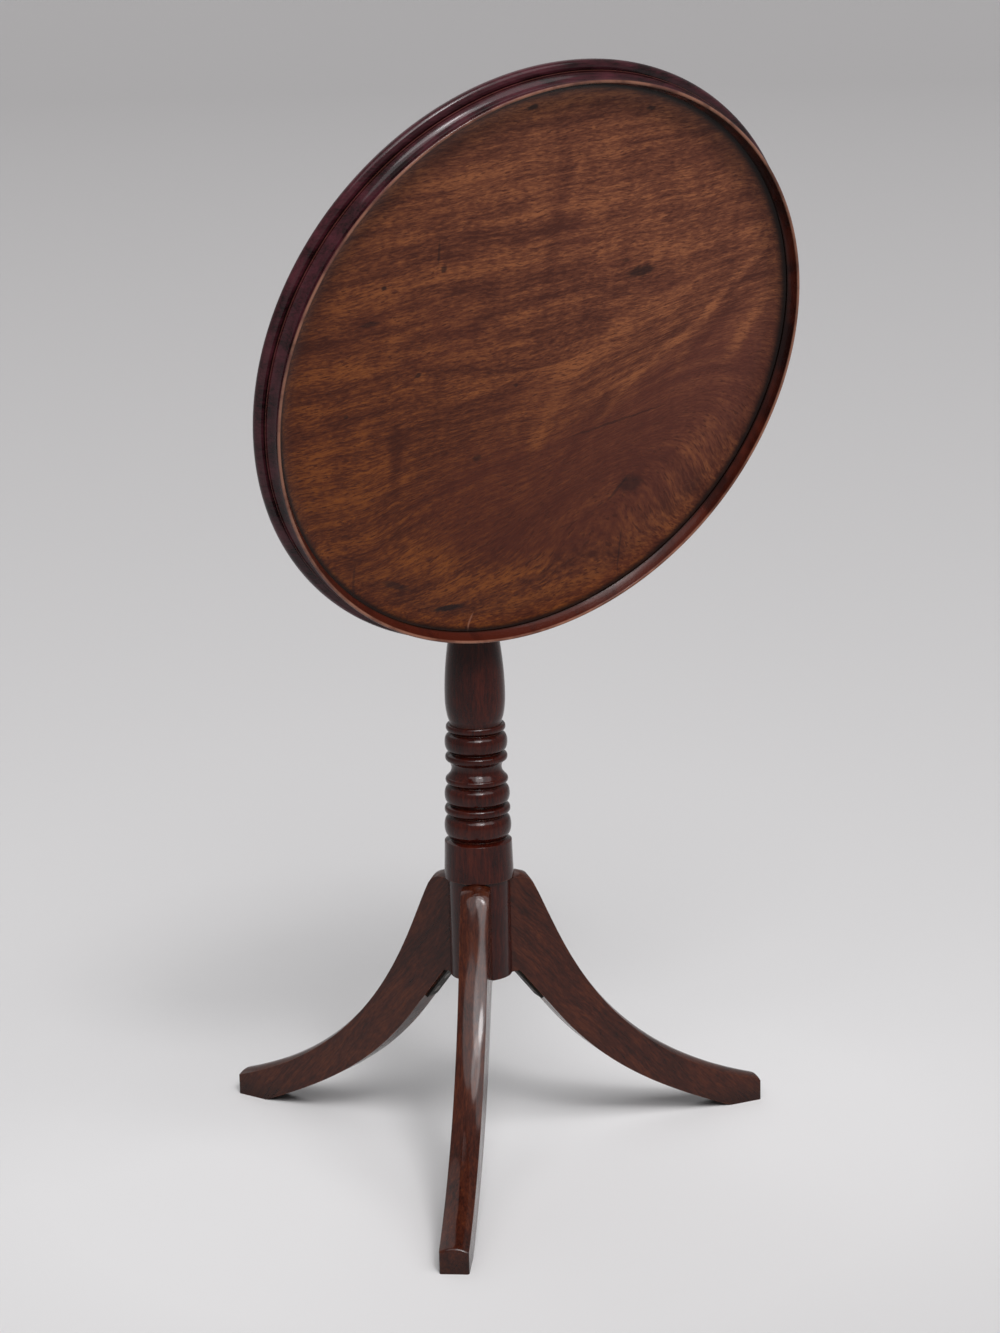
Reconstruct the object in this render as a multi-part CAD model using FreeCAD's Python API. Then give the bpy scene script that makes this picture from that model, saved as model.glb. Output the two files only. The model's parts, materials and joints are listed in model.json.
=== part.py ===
import FreeCAD, Part
import math
import os

os.makedirs("parts", exist_ok=True)

# Tripod table with a round top that tilts on two pins, modelled with the top tipped up.
# The origin is on the column's axis at floor level, +Z is up, and the pins lie along X.
# The tipped top faces -Y and leans back on the column. Lengths are in millimetres.

# Whole table
table_height = 727.0
top_diameter = 530.0
leg_reach = 284.0
first_leg_angle = -7.5

# Clearances
fit_gap = 0.05
running_gap = 0.08
seat_gap = 0.3
overrun = 5.0

# Turned top: bead, quirk, cove and lip outside, wall, quirk and hollow inside
rim_height = 31.0
field_thickness = 15.5
bead_radius = 5.0
quirk_width = 1.4
quirk_depth = 3.0
fillet_width = 1.0
fillet_step = 1.2
lip_setback = 8.5
lip_thickness = 3.0
cove_depth = 4.8
wall_height = 8.5
wall_slope = 4.0
wall_hollow = 0.5
inner_quirk = 1.0
hollow_width = 16.0

# Pivot block and its pins
block_width = 150.0
block_depth = 163.0
block_thickness = 28.0
block_edge_radius = 2.0
pin_radius = 8.0
pin_seat_depth = 28.0
pin_chamfer = 1.0

# Bearers under the top
bearer_length = 430.0
bearer_thickness = 22.0
bearer_height = 30.0
bearer_end_height = 12.0
bearer_flat_share = 0.56
bearer_seat = 12.0
counterbore_radius = 5.0
bearer_screw_shares = (-0.40, 0.08, 0.40)

# Column: drum for the legs, stack of turned mouldings, bulb, shaft and tenon
drum_radius = 28.0
drum_bottom = 170.0
drum_height = 92.0
collar_radius = 31.4
stack_height = 144.6
groove_depth = 1.5
bulb_height = 23.4
rest_radius = 21.1
shaft_radius = 14.8
neck_radius = 13.6
neck_ring_radius = 16.2
cap_radius = 20.0
tenon_radius = 15.0

# Heights above the collar's joint as shares of the stack, radii as shares of the collar's
collar_top_shares = (0.235, 0.965)
ring_shares = (
    (0.273, 0.391, 0.911, 0.959),
    (0.415, 0.463, 0.895, 0.943),
    (0.484, 0.584, 0.892, 0.935),
    (0.609, 0.647, 0.866, 0.897),
    (0.750, 0.792, 0.854, 0.892),
    (0.816, 0.916, 0.860, 0.898),
    (0.941, 0.982, 0.825, 0.852),
)
scotia_after_ring = 3
scotia_shares = ((0.658, 0.809), (0.701, 0.720), (0.746, 0.803))
bulb_foot_share = 0.752
bulb_share = 0.863
# Curve handles of the bulb as shares of its height, of its rise to the rest and of its step in
bulb_handle_shares = (0.167, 0.5)
bulb_shoulder_share = 0.333
rest_slope_share = 0.6
# Heights on the shaft above the place where the top rests, as shares of the way to the block
shaft_shares = (0.115, 0.30, 0.50)
neck_share = 0.77
neck_ring_shares = (0.775, 0.80)
cap_shares = (0.825, 0.90, 0.955)
cap_waist_share = 0.333

# Legs
leg_width = 25.5
leg_crown_radius = 24.0
crown_trim = 0.15
shoulder_reach = 44.6
shoulder_radius = 12.0
leg_slope = 61.7
toe_slope = 18.1
toe_height = 22.8
upper_handle = 59.0
toe_handle = 188.0
underside_start = 33.0
underside_slope = 51.3
underside_straight = 62.0
underside_handle = 73.0
pad_length = 33.0
heel_slope = 22.6
heel_handle = 85.0
toe_round = 2.0
tongue_depth = 10.5
tongue_neck = 10.0
tongue_tail = 15.0
tongue_top_gap = 10.0

# Tenon wedge
wedge_top = 5.0
wedge_tip = 1.2
wedge_height = 24.0

# Iron plate under the column
plate_thickness = 2.0
plate_arm_width = 16.0
plate_arm_length = 40.0
plate_hub_radius = 15.0
plate_screw_shares = (0.30, 0.75)

# Tip-up catch under the top
flange_thickness = 2.0
flange_width = 42.0
flange_length = 56.0
housing_length = 50.0
housing_wall = 2.5
front_gap = 2.5
bolt_width = 14.0
bolt_height = 8.0
bolt_roof = 2.5
bolt_throw = 8.0
bolt_reach = 7.0
bolt_tail = 26.0
bolt_play = 0.3
bolt_nose_share = 0.25
catch_screw_inset = 5.2
knob_setback = 10.0
knob_stem_radius = 2.2
knob_radius = 6.5
knob_length = 12.0
knob_shares = (0.33, 0.55, 0.80)
knob_stem_depth = 5.0
coil_radius = 3.2
coil_wire = 0.8

# Keeper in the block's edge
keeper_width = 34.0
keeper_height = 18.0
keeper_margin = 2.0
keeper_thickness = 1.5
keeper_play = 0.6
keeper_screw_spacing = 25.0

# Wood screws: shank radius, head radius and length
bearer_screw = (2.1, 4.2, 24.0)
plate_screw = (1.9, 3.6, 18.0)
catch_screw = (1.3, 2.6, 12.0)
keeper_screw = (1.2, 2.4, 12.0)
screw_slot_share = 0.22
screw_point_share = 2.0

# Places worked out from the sizes
top_radius = top_diameter / 2
underside = table_height - rim_height
pin_height = underside - seat_gap - block_thickness / 2
pin_reach = block_depth / 2 - block_thickness / 2
block_bottom = pin_height - block_thickness / 2
collar_bottom = drum_bottom + drum_height
bulb_bottom = collar_bottom + stack_height
leg_top = collar_bottom - fit_gap

# The top tips until the bead's lowest point meets the column: a sin + b cos = c in the lean
lean_a = pin_reach - (top_radius - bead_radius)
lean_b = underside - pin_height + bead_radius
lean_c = rest_radius + seat_gap + bead_radius - pin_reach
lean_angle = 180 - math.degrees(math.asin(lean_c / math.hypot(lean_a, lean_b)) + math.atan2(lean_b, lean_a))
tilt_travel = 90 + lean_angle
lean = math.radians(lean_angle)
rest_height = pin_height + lean_a * math.cos(lean) - lean_b * math.sin(lean)

along_x = FreeCAD.Vector(1, 0, 0)
along_y = FreeCAD.Vector(0, 1, 0)
along_z = FreeCAD.Vector(0, 0, 1)
origin = FreeCAD.Vector(0, 0, 0)
pin_point = FreeCAD.Vector(0, -pin_reach, pin_height)


def save(shape, name):
    shape.exportStep("parts/" + name + ".step")


def side_point(place):
    """A point of a side view, given as distance from the column's axis and height."""
    return FreeCAD.Vector(place[0], 0, place[1])


def edges_through(start, steps):
    """Edges from a start on: a step of 1 place is a line, of 2 an arc, of 3 a Bezier curve."""
    edges = []
    here = side_point(start)
    for step in steps:
        places = [side_point(place) for place in step]
        if len(places) == 1:
            edges.append(Part.LineSegment(here, places[0]).toShape())
        elif len(places) == 2:
            edges.append(Part.Arc(here, places[0], places[1]).toShape())
        else:
            curve = Part.BezierCurve()
            curve.setPoles([here] + places)
            edges.append(curve.toShape())
        here = places[-1]
    return edges


def face_through(start, steps):
    """A flat face in the side view, closed back to its start."""
    return Part.Face(Part.Wire(edges_through(start, steps + [[start]])))


def turned(face):
    """A solid of revolution about the column's axis."""
    return face.revolve(origin, along_z, 360)


def plank(face, width):
    """A side view thickened to both sides of its plane."""
    solid = face.extrude(along_y * width)
    solid.translate(along_y * (-width / 2))
    return solid


def block_of(x_range, y_range, z_range):
    """A box between the limits given for each axis."""
    size = [limits[1] - limits[0] for limits in (x_range, y_range, z_range)]
    corner = FreeCAD.Vector(x_range[0], y_range[0], z_range[0])
    return Part.makeBox(size[0], size[1], size[2], corner)


def placed(shape, point, direction):
    """A copy of a shape made along +Z, moved to a point and turned along a direction."""
    copy = shape.copy()
    copy.Placement = FreeCAD.Placement(point, FreeCAD.Rotation(along_z, direction))
    return copy


def polar(angle, reach, height):
    """A point at an angle round the column."""
    turn = math.radians(angle)
    return FreeCAD.Vector(reach * math.cos(turn), reach * math.sin(turn), height)


def turned_to(shape, angle):
    """A copy turned round the column's axis."""
    copy = shape.copy()
    copy.rotate(origin, along_z, angle)
    return copy


def tipped(shape):
    """A copy of a piece of the level top, turned about the pins to the tipped place."""
    copy = shape.copy()
    copy.rotate(pin_point, along_x, tilt_travel)
    return copy


def screw_body(size, gap):
    """A countersunk screw along +Z with its head's face at zero, grown by a gap."""
    shank, head, length = size
    shank = shank + gap
    head = head + gap
    point_length = shank * screw_point_share
    outline = face_through(
        (0, 0),
        [
            [(head, 0)],
            [(shank, head - shank)],
            [(shank, length - point_length)],
            [(0, length + gap)],
        ],
    )
    return turned(outline)


def wood_screw(size):
    """A countersunk wood screw with a slot in its head."""
    head = size[1]
    slot = head * screw_slot_share
    cut = block_of((-head, head), (-slot / 2, slot / 2), (-slot, slot))
    return screw_body(size, 0).cut(cut)


def screws_at(size, seats):
    """Screws at a list of seats, each a point and a direction, and the holes that take them."""
    screws = [placed(wood_screw(size), point, direction) for point, direction in seats]
    holes = [placed(screw_body(size, fit_gap), point, direction) for point, direction in seats]
    return screws, Part.makeCompound(holes)


def top_outline():
    """The turned top's half section, above its underside."""
    bead_ring = top_radius - bead_radius
    bead_top = bead_radius * 2
    quirk_floor = bead_ring - quirk_depth
    fillet_bottom = bead_top + quirk_width
    fillet_top = fillet_bottom + fillet_width
    fillet_radius = quirk_floor + fillet_step
    lip_outside = top_radius - lip_setback
    lip_round = lip_thickness / 2
    lip_spring = rim_height - lip_round
    lip_inside = lip_outside - lip_thickness
    cove_middle = (fillet_top + lip_spring) / 2
    wall_foot = lip_inside - wall_slope
    wall_bottom = lip_spring - wall_height
    wall_middle = ((lip_inside + wall_foot) / 2 + wall_hollow, (lip_spring + wall_bottom) / 2)
    hollow_top = wall_bottom - inner_quirk
    hollow_rise = hollow_top - field_thickness
    hollow_radius = (hollow_width ** 2 + hollow_rise ** 2) / (hollow_rise * 2)
    hollow_turn = math.asin(hollow_width / hollow_radius) / 2
    hollow_edge = wall_foot - inner_quirk
    field_radius = hollow_edge - hollow_width
    hollow_middle = (
        field_radius + hollow_radius * math.sin(hollow_turn),
        field_thickness + hollow_radius * (1 - math.cos(hollow_turn)),
    )
    return face_through(
        (0, 0),
        [
            [(bead_ring, 0)],
            [(top_radius, bead_radius), (bead_ring, bead_top)],
            [(quirk_floor, bead_top)],
            [(quirk_floor, fillet_bottom)],
            [(fillet_radius, fillet_bottom)],
            [(fillet_radius, fillet_top)],
            [(lip_outside, fillet_top)],
            [(lip_outside - cove_depth, cove_middle), (lip_outside, lip_spring)],
            [(lip_outside - lip_round, rim_height), (lip_inside, lip_spring)],
            [wall_middle, (wall_foot, wall_bottom)],
            [(wall_foot + inner_quirk, hollow_top)],
            [(hollow_edge, hollow_top)],
            [hollow_middle, (field_radius, field_thickness)],
            [(0, field_thickness)],
        ],
    )


def top_board(holes):
    """The dished top, level, with the pilot holes of its screws."""
    board = turned(top_outline())
    board.translate(along_z * underside)
    return board.cut(holes)


def column_outline():
    """The column's half section from the drum to the tenon's end."""
    steps = [[(drum_radius, drum_bottom)], [(drum_radius, collar_bottom)], [(collar_radius, collar_bottom)]]

    def stack_place(height_share, radius_share):
        return (collar_radius * radius_share, collar_bottom + stack_height * height_share)

    here = stack_place(*collar_top_shares)
    steps.append([here])
    for number, (low, high, edge, crown) in enumerate(ring_shares):
        start = stack_place(low, edge)
        end = stack_place(high, edge)
        if number != scotia_after_ring + 1:
            groove = (min(here[0], start[0]) - groove_depth, (here[1] + start[1]) / 2)
            steps.append([groove])
        steps.append([start])
        steps.append([stack_place((low + high) / 2, crown), end])
        here = end
        if number == scotia_after_ring:
            scotia = [stack_place(*shares) for shares in scotia_shares]
            steps.append([scotia[0]])
            steps.append([scotia[1], scotia[2]])
            here = scotia[2]
    bulb_foot = collar_radius * bulb_foot_share
    bulb_radius = collar_radius * bulb_share
    bulb_middle = bulb_bottom + bulb_height
    bulb_rise = rest_height - bulb_middle
    steps.append([(bulb_foot, here[1])])
    steps.append([(bulb_foot, bulb_bottom)])
    steps.append(
        [
            ((bulb_foot + bulb_radius) / 2, bulb_bottom + bulb_height * bulb_handle_shares[0]),
            (bulb_radius, bulb_bottom + bulb_height * bulb_handle_shares[1]),
            (bulb_radius, bulb_middle),
        ]
    )
    shoulder_drop = (bulb_radius - rest_radius) * rest_slope_share
    steps.append(
        [
            (bulb_radius, bulb_middle + bulb_rise * bulb_shoulder_share),
            (rest_radius + shoulder_drop, rest_height - bulb_rise * bulb_shoulder_share),
            (rest_radius, rest_height),
        ]
    )

    shaft_length = block_bottom - rest_height

    def shaft_place(height_share, radius):
        return (radius, rest_height + shaft_length * height_share)

    steps.append(
        [
            shaft_place(shaft_shares[0], rest_radius - shoulder_drop),
            shaft_place(shaft_shares[1], shaft_radius),
            shaft_place(shaft_shares[2], shaft_radius),
        ]
    )
    ring_middle = sum(neck_ring_shares) / 2
    steps.append([shaft_place(neck_share, neck_radius)])
    steps.append([shaft_place(neck_ring_shares[0], neck_radius)])
    steps.append(
        [shaft_place(ring_middle, neck_ring_radius), shaft_place(neck_ring_shares[1], neck_radius)]
    )
    steps.append([shaft_place(cap_shares[0], neck_radius)])
    cap_waist = neck_radius + (cap_radius - neck_radius) * cap_waist_share
    steps.append([shaft_place(cap_shares[1], cap_waist), shaft_place(cap_shares[2], cap_radius)])
    steps.append([(cap_radius, block_bottom)])
    steps.append([(tenon_radius - fit_gap, block_bottom)])
    steps.append([(tenon_radius - fit_gap, block_bottom + block_thickness)])
    steps.append([(0, block_bottom + block_thickness)])
    return face_through((0, drum_bottom), steps)


def tongue(gap, below):
    """A leg's dovetail tongue along +X, or with a gap and an overrun below its housing."""
    inner = drum_radius - tongue_depth - gap
    outer = drum_radius + gap + fit_gap
    neck = tongue_neck / 2 + gap
    tail = tongue_tail / 2 + gap
    corners = ((inner, -tail), (inner, tail), (outer, neck), (outer, -neck), (inner, -tail))
    outline = Part.makePolygon([FreeCAD.Vector(x, y, drum_bottom - below) for x, y in corners])
    height = drum_height - tongue_top_gap + gap + below
    return Part.Face(outline).extrude(along_z * height)


def wedge(gap):
    """The tenon's wedge, thickest at the top, or with a gap the kerf that takes it."""
    top = block_bottom + block_thickness
    bottom = top - wedge_height - gap
    half_top = wedge_top / 2 + gap
    half_tip = wedge_tip / 2 + gap
    outline = face_through(
        (-half_tip, bottom),
        [[(half_tip, bottom)], [(half_top, top)], [(-half_top, top)]],
    )
    return plank(outline, tenon_radius * 2)


def column(leg_angles, holes):
    """The turned column with its housings for the legs, its wedge kerf and a pilot hole."""
    solid = turned(column_outline())
    for angle in leg_angles:
        solid = solid.cut(turned_to(tongue(fit_gap, overrun), angle))
    return solid.cut(wedge(fit_gap)).cut(holes)


def tenon_wedge():
    """The wedge, rounded to the tenon that it spreads."""
    tenon = Part.makeCylinder(tenon_radius - fit_gap, table_height)
    return wedge(0).common(tenon)


def direction_of(slope):
    """A unit direction in the side view that falls outwards at a slope."""
    turn = math.radians(slope)
    return (math.cos(turn), -math.sin(turn))


def moved(place, slope, length):
    """A place moved along a falling direction."""
    step = direction_of(slope)
    return (place[0] + step[0] * length, place[1] + step[1] * length)


def leg_top_steps():
    """The start and steps of a leg's upper line, from the drum to the toe."""
    corner = (shoulder_reach, leg_top)
    tangent = shoulder_radius * math.tan(math.radians(leg_slope / 2))
    arc_start = (shoulder_reach - tangent, leg_top)
    arc_middle = (
        arc_start[0] + shoulder_radius * math.sin(math.radians(leg_slope / 2)),
        leg_top - shoulder_radius * (1 - math.cos(math.radians(leg_slope / 2))),
    )
    arc_end = moved(corner, leg_slope, tangent)
    toe = (leg_reach, toe_height)
    start = (drum_radius / 2, leg_top)
    steps = [
        [arc_start],
        [arc_middle, arc_end],
        [moved(arc_end, leg_slope, upper_handle), moved(toe, toe_slope, -toe_handle), toe],
    ]
    return start, steps


def leg_outline():
    """A leg's side view, with its inner end still inside the drum."""
    start, steps = leg_top_steps()
    bend = (underside_start, drum_bottom)
    straight_end = moved(bend, underside_slope, underside_straight)
    heel = (leg_reach - pad_length, 0)
    steps = steps + [
        [(leg_reach, 0)],
        [heel],
        [
            moved(heel, heel_slope, -heel_handle),
            moved(straight_end, underside_slope, underside_handle),
            straight_end,
        ],
        [bend],
        [(start[0], drum_bottom)],
    ]
    return face_through(start, steps)


def crown_waste():
    """What is planed off a leg's top to round it across, swept along its upper line."""
    start, steps = leg_top_steps()
    toe_end = moved((leg_reach, toe_height), toe_slope, overrun)
    spine = Part.Wire(edges_through(start, steps + [[toe_end]]))
    half = leg_width / 2 + overrun / 2
    sag = leg_crown_radius - math.sqrt(leg_crown_radius ** 2 - half ** 2)
    crown = leg_top - crown_trim
    left = FreeCAD.Vector(start[0], -half, crown - sag)
    middle = FreeCAD.Vector(start[0], 0, crown)
    right = FreeCAD.Vector(start[0], half, crown - sag)
    right_top = FreeCAD.Vector(start[0], half, leg_top + overrun)
    left_top = FreeCAD.Vector(start[0], -half, leg_top + overrun)
    section = [Part.Arc(left, middle, right).toShape(), Part.makePolygon([right, right_top, left_top, left])]
    shell = Part.BRepOffsetAPI.MakePipeShell(spine)
    shell.setBiNormalMode(along_y)
    shell.add(Part.Wire(section[0].Edges + section[1].Edges))
    shell.build()
    shell.makeSolid()
    return shell.shape()


def leg(holes):
    """A sabre leg along +X with a crowned top, a flat pad and a dovetail tongue."""
    blank = plank(leg_outline(), leg_width)
    drum = Part.makeCylinder(drum_radius + fit_gap, table_height)
    solid = blank.cut(crown_waste()).cut(drum)
    toe_edges = [
        edge
        for edge in solid.Edges
        if edge.BoundBox.XMin > leg_reach - fit_gap and edge.BoundBox.ZMax > fit_gap
    ]
    solid = solid.makeFillet(toe_round, toe_edges)
    return solid.fuse(tongue(0, 0)).removeSplitter().cut(holes)


def pivot_block(holes, keeper_seat):
    """The square block with its rounded pin edge, tenon hole, pin holes and keeper seat."""
    back = block_depth / 2
    half = block_thickness / 2
    corner = block_edge_radius
    outline = face_through(
        (-pin_reach, pin_height + half),
        [
            [(-pin_reach - half, pin_height), (-pin_reach, pin_height - half)],
            [(back - corner, pin_height - half)],
            [(back, pin_height - half + corner)],
            [(back, pin_height + half - corner)],
            [(back - corner, pin_height + half)],
        ],
    )
    solid = turned_to(plank(outline, block_width), 90)
    solid = solid.cut(Part.makeCylinder(tenon_radius, table_height))
    for side in (-1, 1):
        depth = pin_seat_depth + fit_gap
        mouth = FreeCAD.Vector(side * block_width / 2, -pin_reach, pin_height)
        solid = solid.cut(Part.makeCylinder(pin_radius + fit_gap, depth, mouth, along_x * -side))
    return solid.cut(keeper_seat).cut(holes)


def bearer_face(side):
    """Where a bearer's inner and outer faces are."""
    inner = block_width / 2 + seat_gap
    return sorted((side * inner, side * (inner + bearer_thickness)))


def pivot_pin(side):
    """A dowel with a chamfered end, from inside the block through the bearer."""
    length = pin_seat_depth + bearer_thickness
    start = FreeCAD.Vector(side * (block_width / 2 - pin_seat_depth), -pin_reach, pin_height)
    outline = face_through(
        (0, 0),
        [
            [(pin_radius, 0)],
            [(pin_radius, length - pin_chamfer)],
            [(pin_radius - pin_chamfer, length)],
            [(0, length)],
        ],
    )
    return placed(turned(outline), start, along_x * side)


def bearer_seats(side):
    """Where one bearer's screws sit under the level top."""
    middle = sum(bearer_face(side)) / 2
    height = underside - bearer_seat
    places = [FreeCAD.Vector(middle, bearer_length * share, height) for share in bearer_screw_shares]
    return [(place, along_z) for place in places]


def bearer(side, holes):
    """A batten under the level top, tapered at both ends and bored for the pin."""
    low, high = bearer_face(side)
    half = bearer_length / 2
    flat = half * bearer_flat_share
    full = underside - bearer_height
    thin = underside - bearer_end_height
    outline = face_through(
        (-half, underside),
        [[(half, underside)], [(half, thin)], [(flat, full)], [(-flat, full)], [(-half, thin)]],
    )
    solid = turned_to(plank(outline, high - low), 90)
    solid.translate(along_x * (low + high) / 2)
    bore_start = FreeCAD.Vector(low - overrun, -pin_reach, pin_height)
    bore_length = high - low + overrun * 2
    solid = solid.cut(Part.makeCylinder(pin_radius + running_gap, bore_length, bore_start, along_x))
    for point, direction in bearer_seats(side):
        solid = solid.cut(Part.makeCylinder(counterbore_radius, bearer_height, point, -direction))
    return solid.cut(holes)


def plate_arm():
    """One arm of the iron plate along +X, bent down along the leg's underside."""
    bend = (underside_start, drum_bottom)
    end = moved(bend, underside_slope, plate_arm_length)
    fall = direction_of(underside_slope)
    inside = (end[0] + fall[1] * plate_thickness, end[1] - fall[0] * plate_thickness)
    bend_inset = plate_thickness * math.tan(math.radians(underside_slope / 2))
    under = drum_bottom - plate_thickness
    outline = face_through(
        (0, drum_bottom),
        [[bend], [end], [inside], [(underside_start - bend_inset, under)], [(0, under)]],
    )
    return plank(outline, plate_arm_width)


def plate_seats(angle):
    """Where the screws of one of the plate's arms sit."""
    fall = direction_of(underside_slope)
    lift = polar(angle, -fall[1], fall[0])
    seats = []
    for share in plate_screw_shares:
        reach, height = moved((underside_start, drum_bottom), underside_slope, plate_arm_length * share)
        point = polar(angle, reach, height) - lift * plate_thickness
        seats.append((point, lift))
    return seats


def base_plate(leg_angles, holes):
    """The three-armed iron plate under the column and legs."""
    hub_foot = along_z * (drum_bottom - plate_thickness)
    solid = Part.makeCylinder(plate_hub_radius, plate_thickness, hub_foot)
    for angle in leg_angles:
        solid = solid.fuse(turned_to(plate_arm(), angle))
    return solid.removeSplitter().cut(holes)


# Heights and lengths of the catch, on the level top
case_front = block_depth / 2 + front_gap
channel_top = underside - flange_thickness - bolt_roof
channel_bottom = channel_top - bolt_height - bolt_play * 2
case_bottom = channel_bottom - housing_wall
bolt_top = channel_top - bolt_play
bolt_bottom = bolt_top - bolt_height
bolt_middle = (bolt_top + bolt_bottom) / 2
bolt_nose = block_depth / 2 - bolt_reach
bolt_end = case_front + bolt_tail
spring_end = case_front + housing_length - housing_wall
knob_place = case_front + knob_setback


def case_seats():
    """Where the case's four screws sit in its flange."""
    inset = catch_screw_inset
    far = case_front + flange_length - inset
    places = [(side * (flange_width / 2 - inset), y) for side in (-1, 1) for y in (case_front + inset, far)]
    return [(FreeCAD.Vector(x, y, underside - flange_thickness), along_z) for x, y in places]


def catch_case(holes):
    """The brass flange and housing, with the bolt's channel and the knob's slot."""
    half_bolt = bolt_width / 2 + bolt_play
    half_housing = half_bolt + housing_wall
    end = case_front + flange_length
    solid = block_of(
        (-flange_width / 2, flange_width / 2),
        (case_front, end),
        (underside - flange_thickness, underside),
    )
    housing_end = case_front + housing_length
    solid = solid.fuse(
        block_of((-half_housing, half_housing), (case_front, housing_end), (case_bottom, underside))
    )
    channel_start = case_front - overrun
    solid = solid.cut(
        block_of((-half_bolt, half_bolt), (channel_start, spring_end), (channel_bottom, channel_top))
    )
    half_slot = knob_stem_radius + bolt_play
    slot_range = (knob_place - half_slot, knob_place + bolt_throw + half_slot)
    solid = solid.cut(block_of((-half_slot, half_slot), slot_range, (case_bottom, channel_bottom)))
    return solid.removeSplitter().cut(holes)


def catch_bolt():
    """The sliding bolt, its nose bevelled below, bored for the knob's stem."""
    outline = face_through(
        (bolt_nose, bolt_top),
        [
            [(bolt_end, bolt_top)],
            [(bolt_end, bolt_bottom)],
            [(bolt_nose + bolt_reach, bolt_bottom)],
            [(bolt_nose, bolt_top - bolt_height * bolt_nose_share)],
        ],
    )
    solid = turned_to(plank(outline, bolt_width), 90)
    mouth = FreeCAD.Vector(0, knob_place, bolt_bottom)
    return solid.cut(Part.makeCylinder(knob_stem_radius + fit_gap, knob_stem_depth, mouth))


def catch_knob():
    """The turned knob that draws the bolt, its stem in the bolt."""
    neck = case_bottom - bolt_play
    stem_top = bolt_bottom + knob_stem_depth - fit_gap
    waist = knob_radius / 2
    waist_bottom, rim_top, rim_bottom = [neck - knob_length * share for share in knob_shares]
    outline = face_through(
        (0, stem_top),
        [
            [(knob_stem_radius, stem_top)],
            [(knob_stem_radius, neck)],
            [(waist, neck)],
            [(waist, waist_bottom)],
            [(knob_radius, rim_top)],
            [(knob_radius, rim_bottom)],
            [(waist, neck - knob_length)],
            [(0, neck - knob_length)],
        ],
    )
    return placed(turned(outline), along_y * knob_place, along_z)


def catch_spring():
    """The coil behind the bolt, as a sleeve of the coil's outer and inner size."""
    start = FreeCAD.Vector(0, bolt_end + bolt_play, bolt_middle)
    length = spring_end - bolt_end - bolt_play
    coil = Part.makeCylinder(coil_radius, length, start, along_y)
    return coil.cut(Part.makeCylinder(coil_radius - coil_wire, length, start, along_y))


def keeper_slot(depth):
    """The space that the bolt's nose needs in the block's edge."""
    half = bolt_width / 2 + keeper_play
    back = block_depth / 2
    heights = (bolt_bottom - keeper_play, bolt_top + keeper_play)
    return block_of((-half, half), (back - depth, back + overrun), heights)


def keeper_blank(gap):
    """The keeper's outline let into the block's edge, below the block's top face."""
    back = block_depth / 2
    keeper_top = block_bottom + block_thickness - keeper_margin
    heights = (keeper_top - keeper_height - gap, keeper_top + gap)
    half = keeper_width / 2 + gap
    return block_of((-half, half), (back - keeper_thickness, back), heights)


def keeper_seats():
    """Where the keeper's two screws sit."""
    half = keeper_screw_spacing / 2
    back = block_depth / 2
    return [(FreeCAD.Vector(side * half, back, bolt_middle), -along_y) for side in (-1, 1)]


# Screws and the holes that they share with the pieces round them
leg_angles = [first_leg_angle, first_leg_angle + 120, first_leg_angle + 240]
leg_names = ["leg_right", "leg_back", "leg_front"]
hub_seat = [(along_z * (drum_bottom - plate_thickness), along_z)]
plate_all_seats = hub_seat + [seat for angle in leg_angles for seat in plate_seats(angle)]
plate_screws, plate_holes = screws_at(plate_screw, plate_all_seats)
bearer_all_seats = bearer_seats(-1) + bearer_seats(1)
bearer_screws, bearer_holes = screws_at(bearer_screw, bearer_all_seats)
case_screws, case_holes = screws_at(catch_screw, case_seats())
keeper_screws, keeper_holes = screws_at(keeper_screw, keeper_seats())
keeper_seat = keeper_blank(fit_gap).fuse(keeper_slot(bolt_reach + keeper_play * 2))

# Pieces of the standing frame
save(column(leg_angles, plate_holes), "column")
save(tenon_wedge(), "tenon_wedge")
for name, angle in zip(leg_names, leg_angles):
    own_holes = turned_to(plate_holes, -angle)
    save(turned_to(leg(own_holes), angle), name)
save(base_plate(leg_angles, plate_holes), "base_plate")
save(Part.makeCompound(plate_screws), "base_plate_screws")
save(pivot_block(keeper_holes, keeper_seat), "pivot_block")
save(pivot_pin(-1), "pivot_pin_left")
save(pivot_pin(1), "pivot_pin_right")
save(keeper_blank(0).cut(keeper_slot(bolt_reach)).cut(keeper_holes), "keeper_plate")
save(Part.makeCompound(keeper_screws), "keeper_screws")

# Pieces of the top, made level and tipped up
save(tipped(top_board(Part.makeCompound([bearer_holes, case_holes]))), "top_board")
save(tipped(bearer(-1, bearer_holes)), "bearer_left")
save(tipped(bearer(1, bearer_holes)), "bearer_right")
save(tipped(Part.makeCompound(bearer_screws)), "bearer_screws")
save(tipped(catch_case(case_holes)), "catch_case")
save(tipped(Part.makeCompound(case_screws)), "catch_screws")
save(tipped(catch_spring()), "catch_spring")
save(tipped(catch_bolt()), "catch_bolt")
save(tipped(catch_knob()), "catch_knob")

print("pins at y %.3f z %.3f, lean %.3f, travel %.3f" % (-pin_reach, pin_height, lean_angle, tilt_travel))
print("the top rests at height %.3f" % rest_height)
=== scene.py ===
"""A tripod table: a round dished top, tipped up on a turned column with three sabre legs."""

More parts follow.
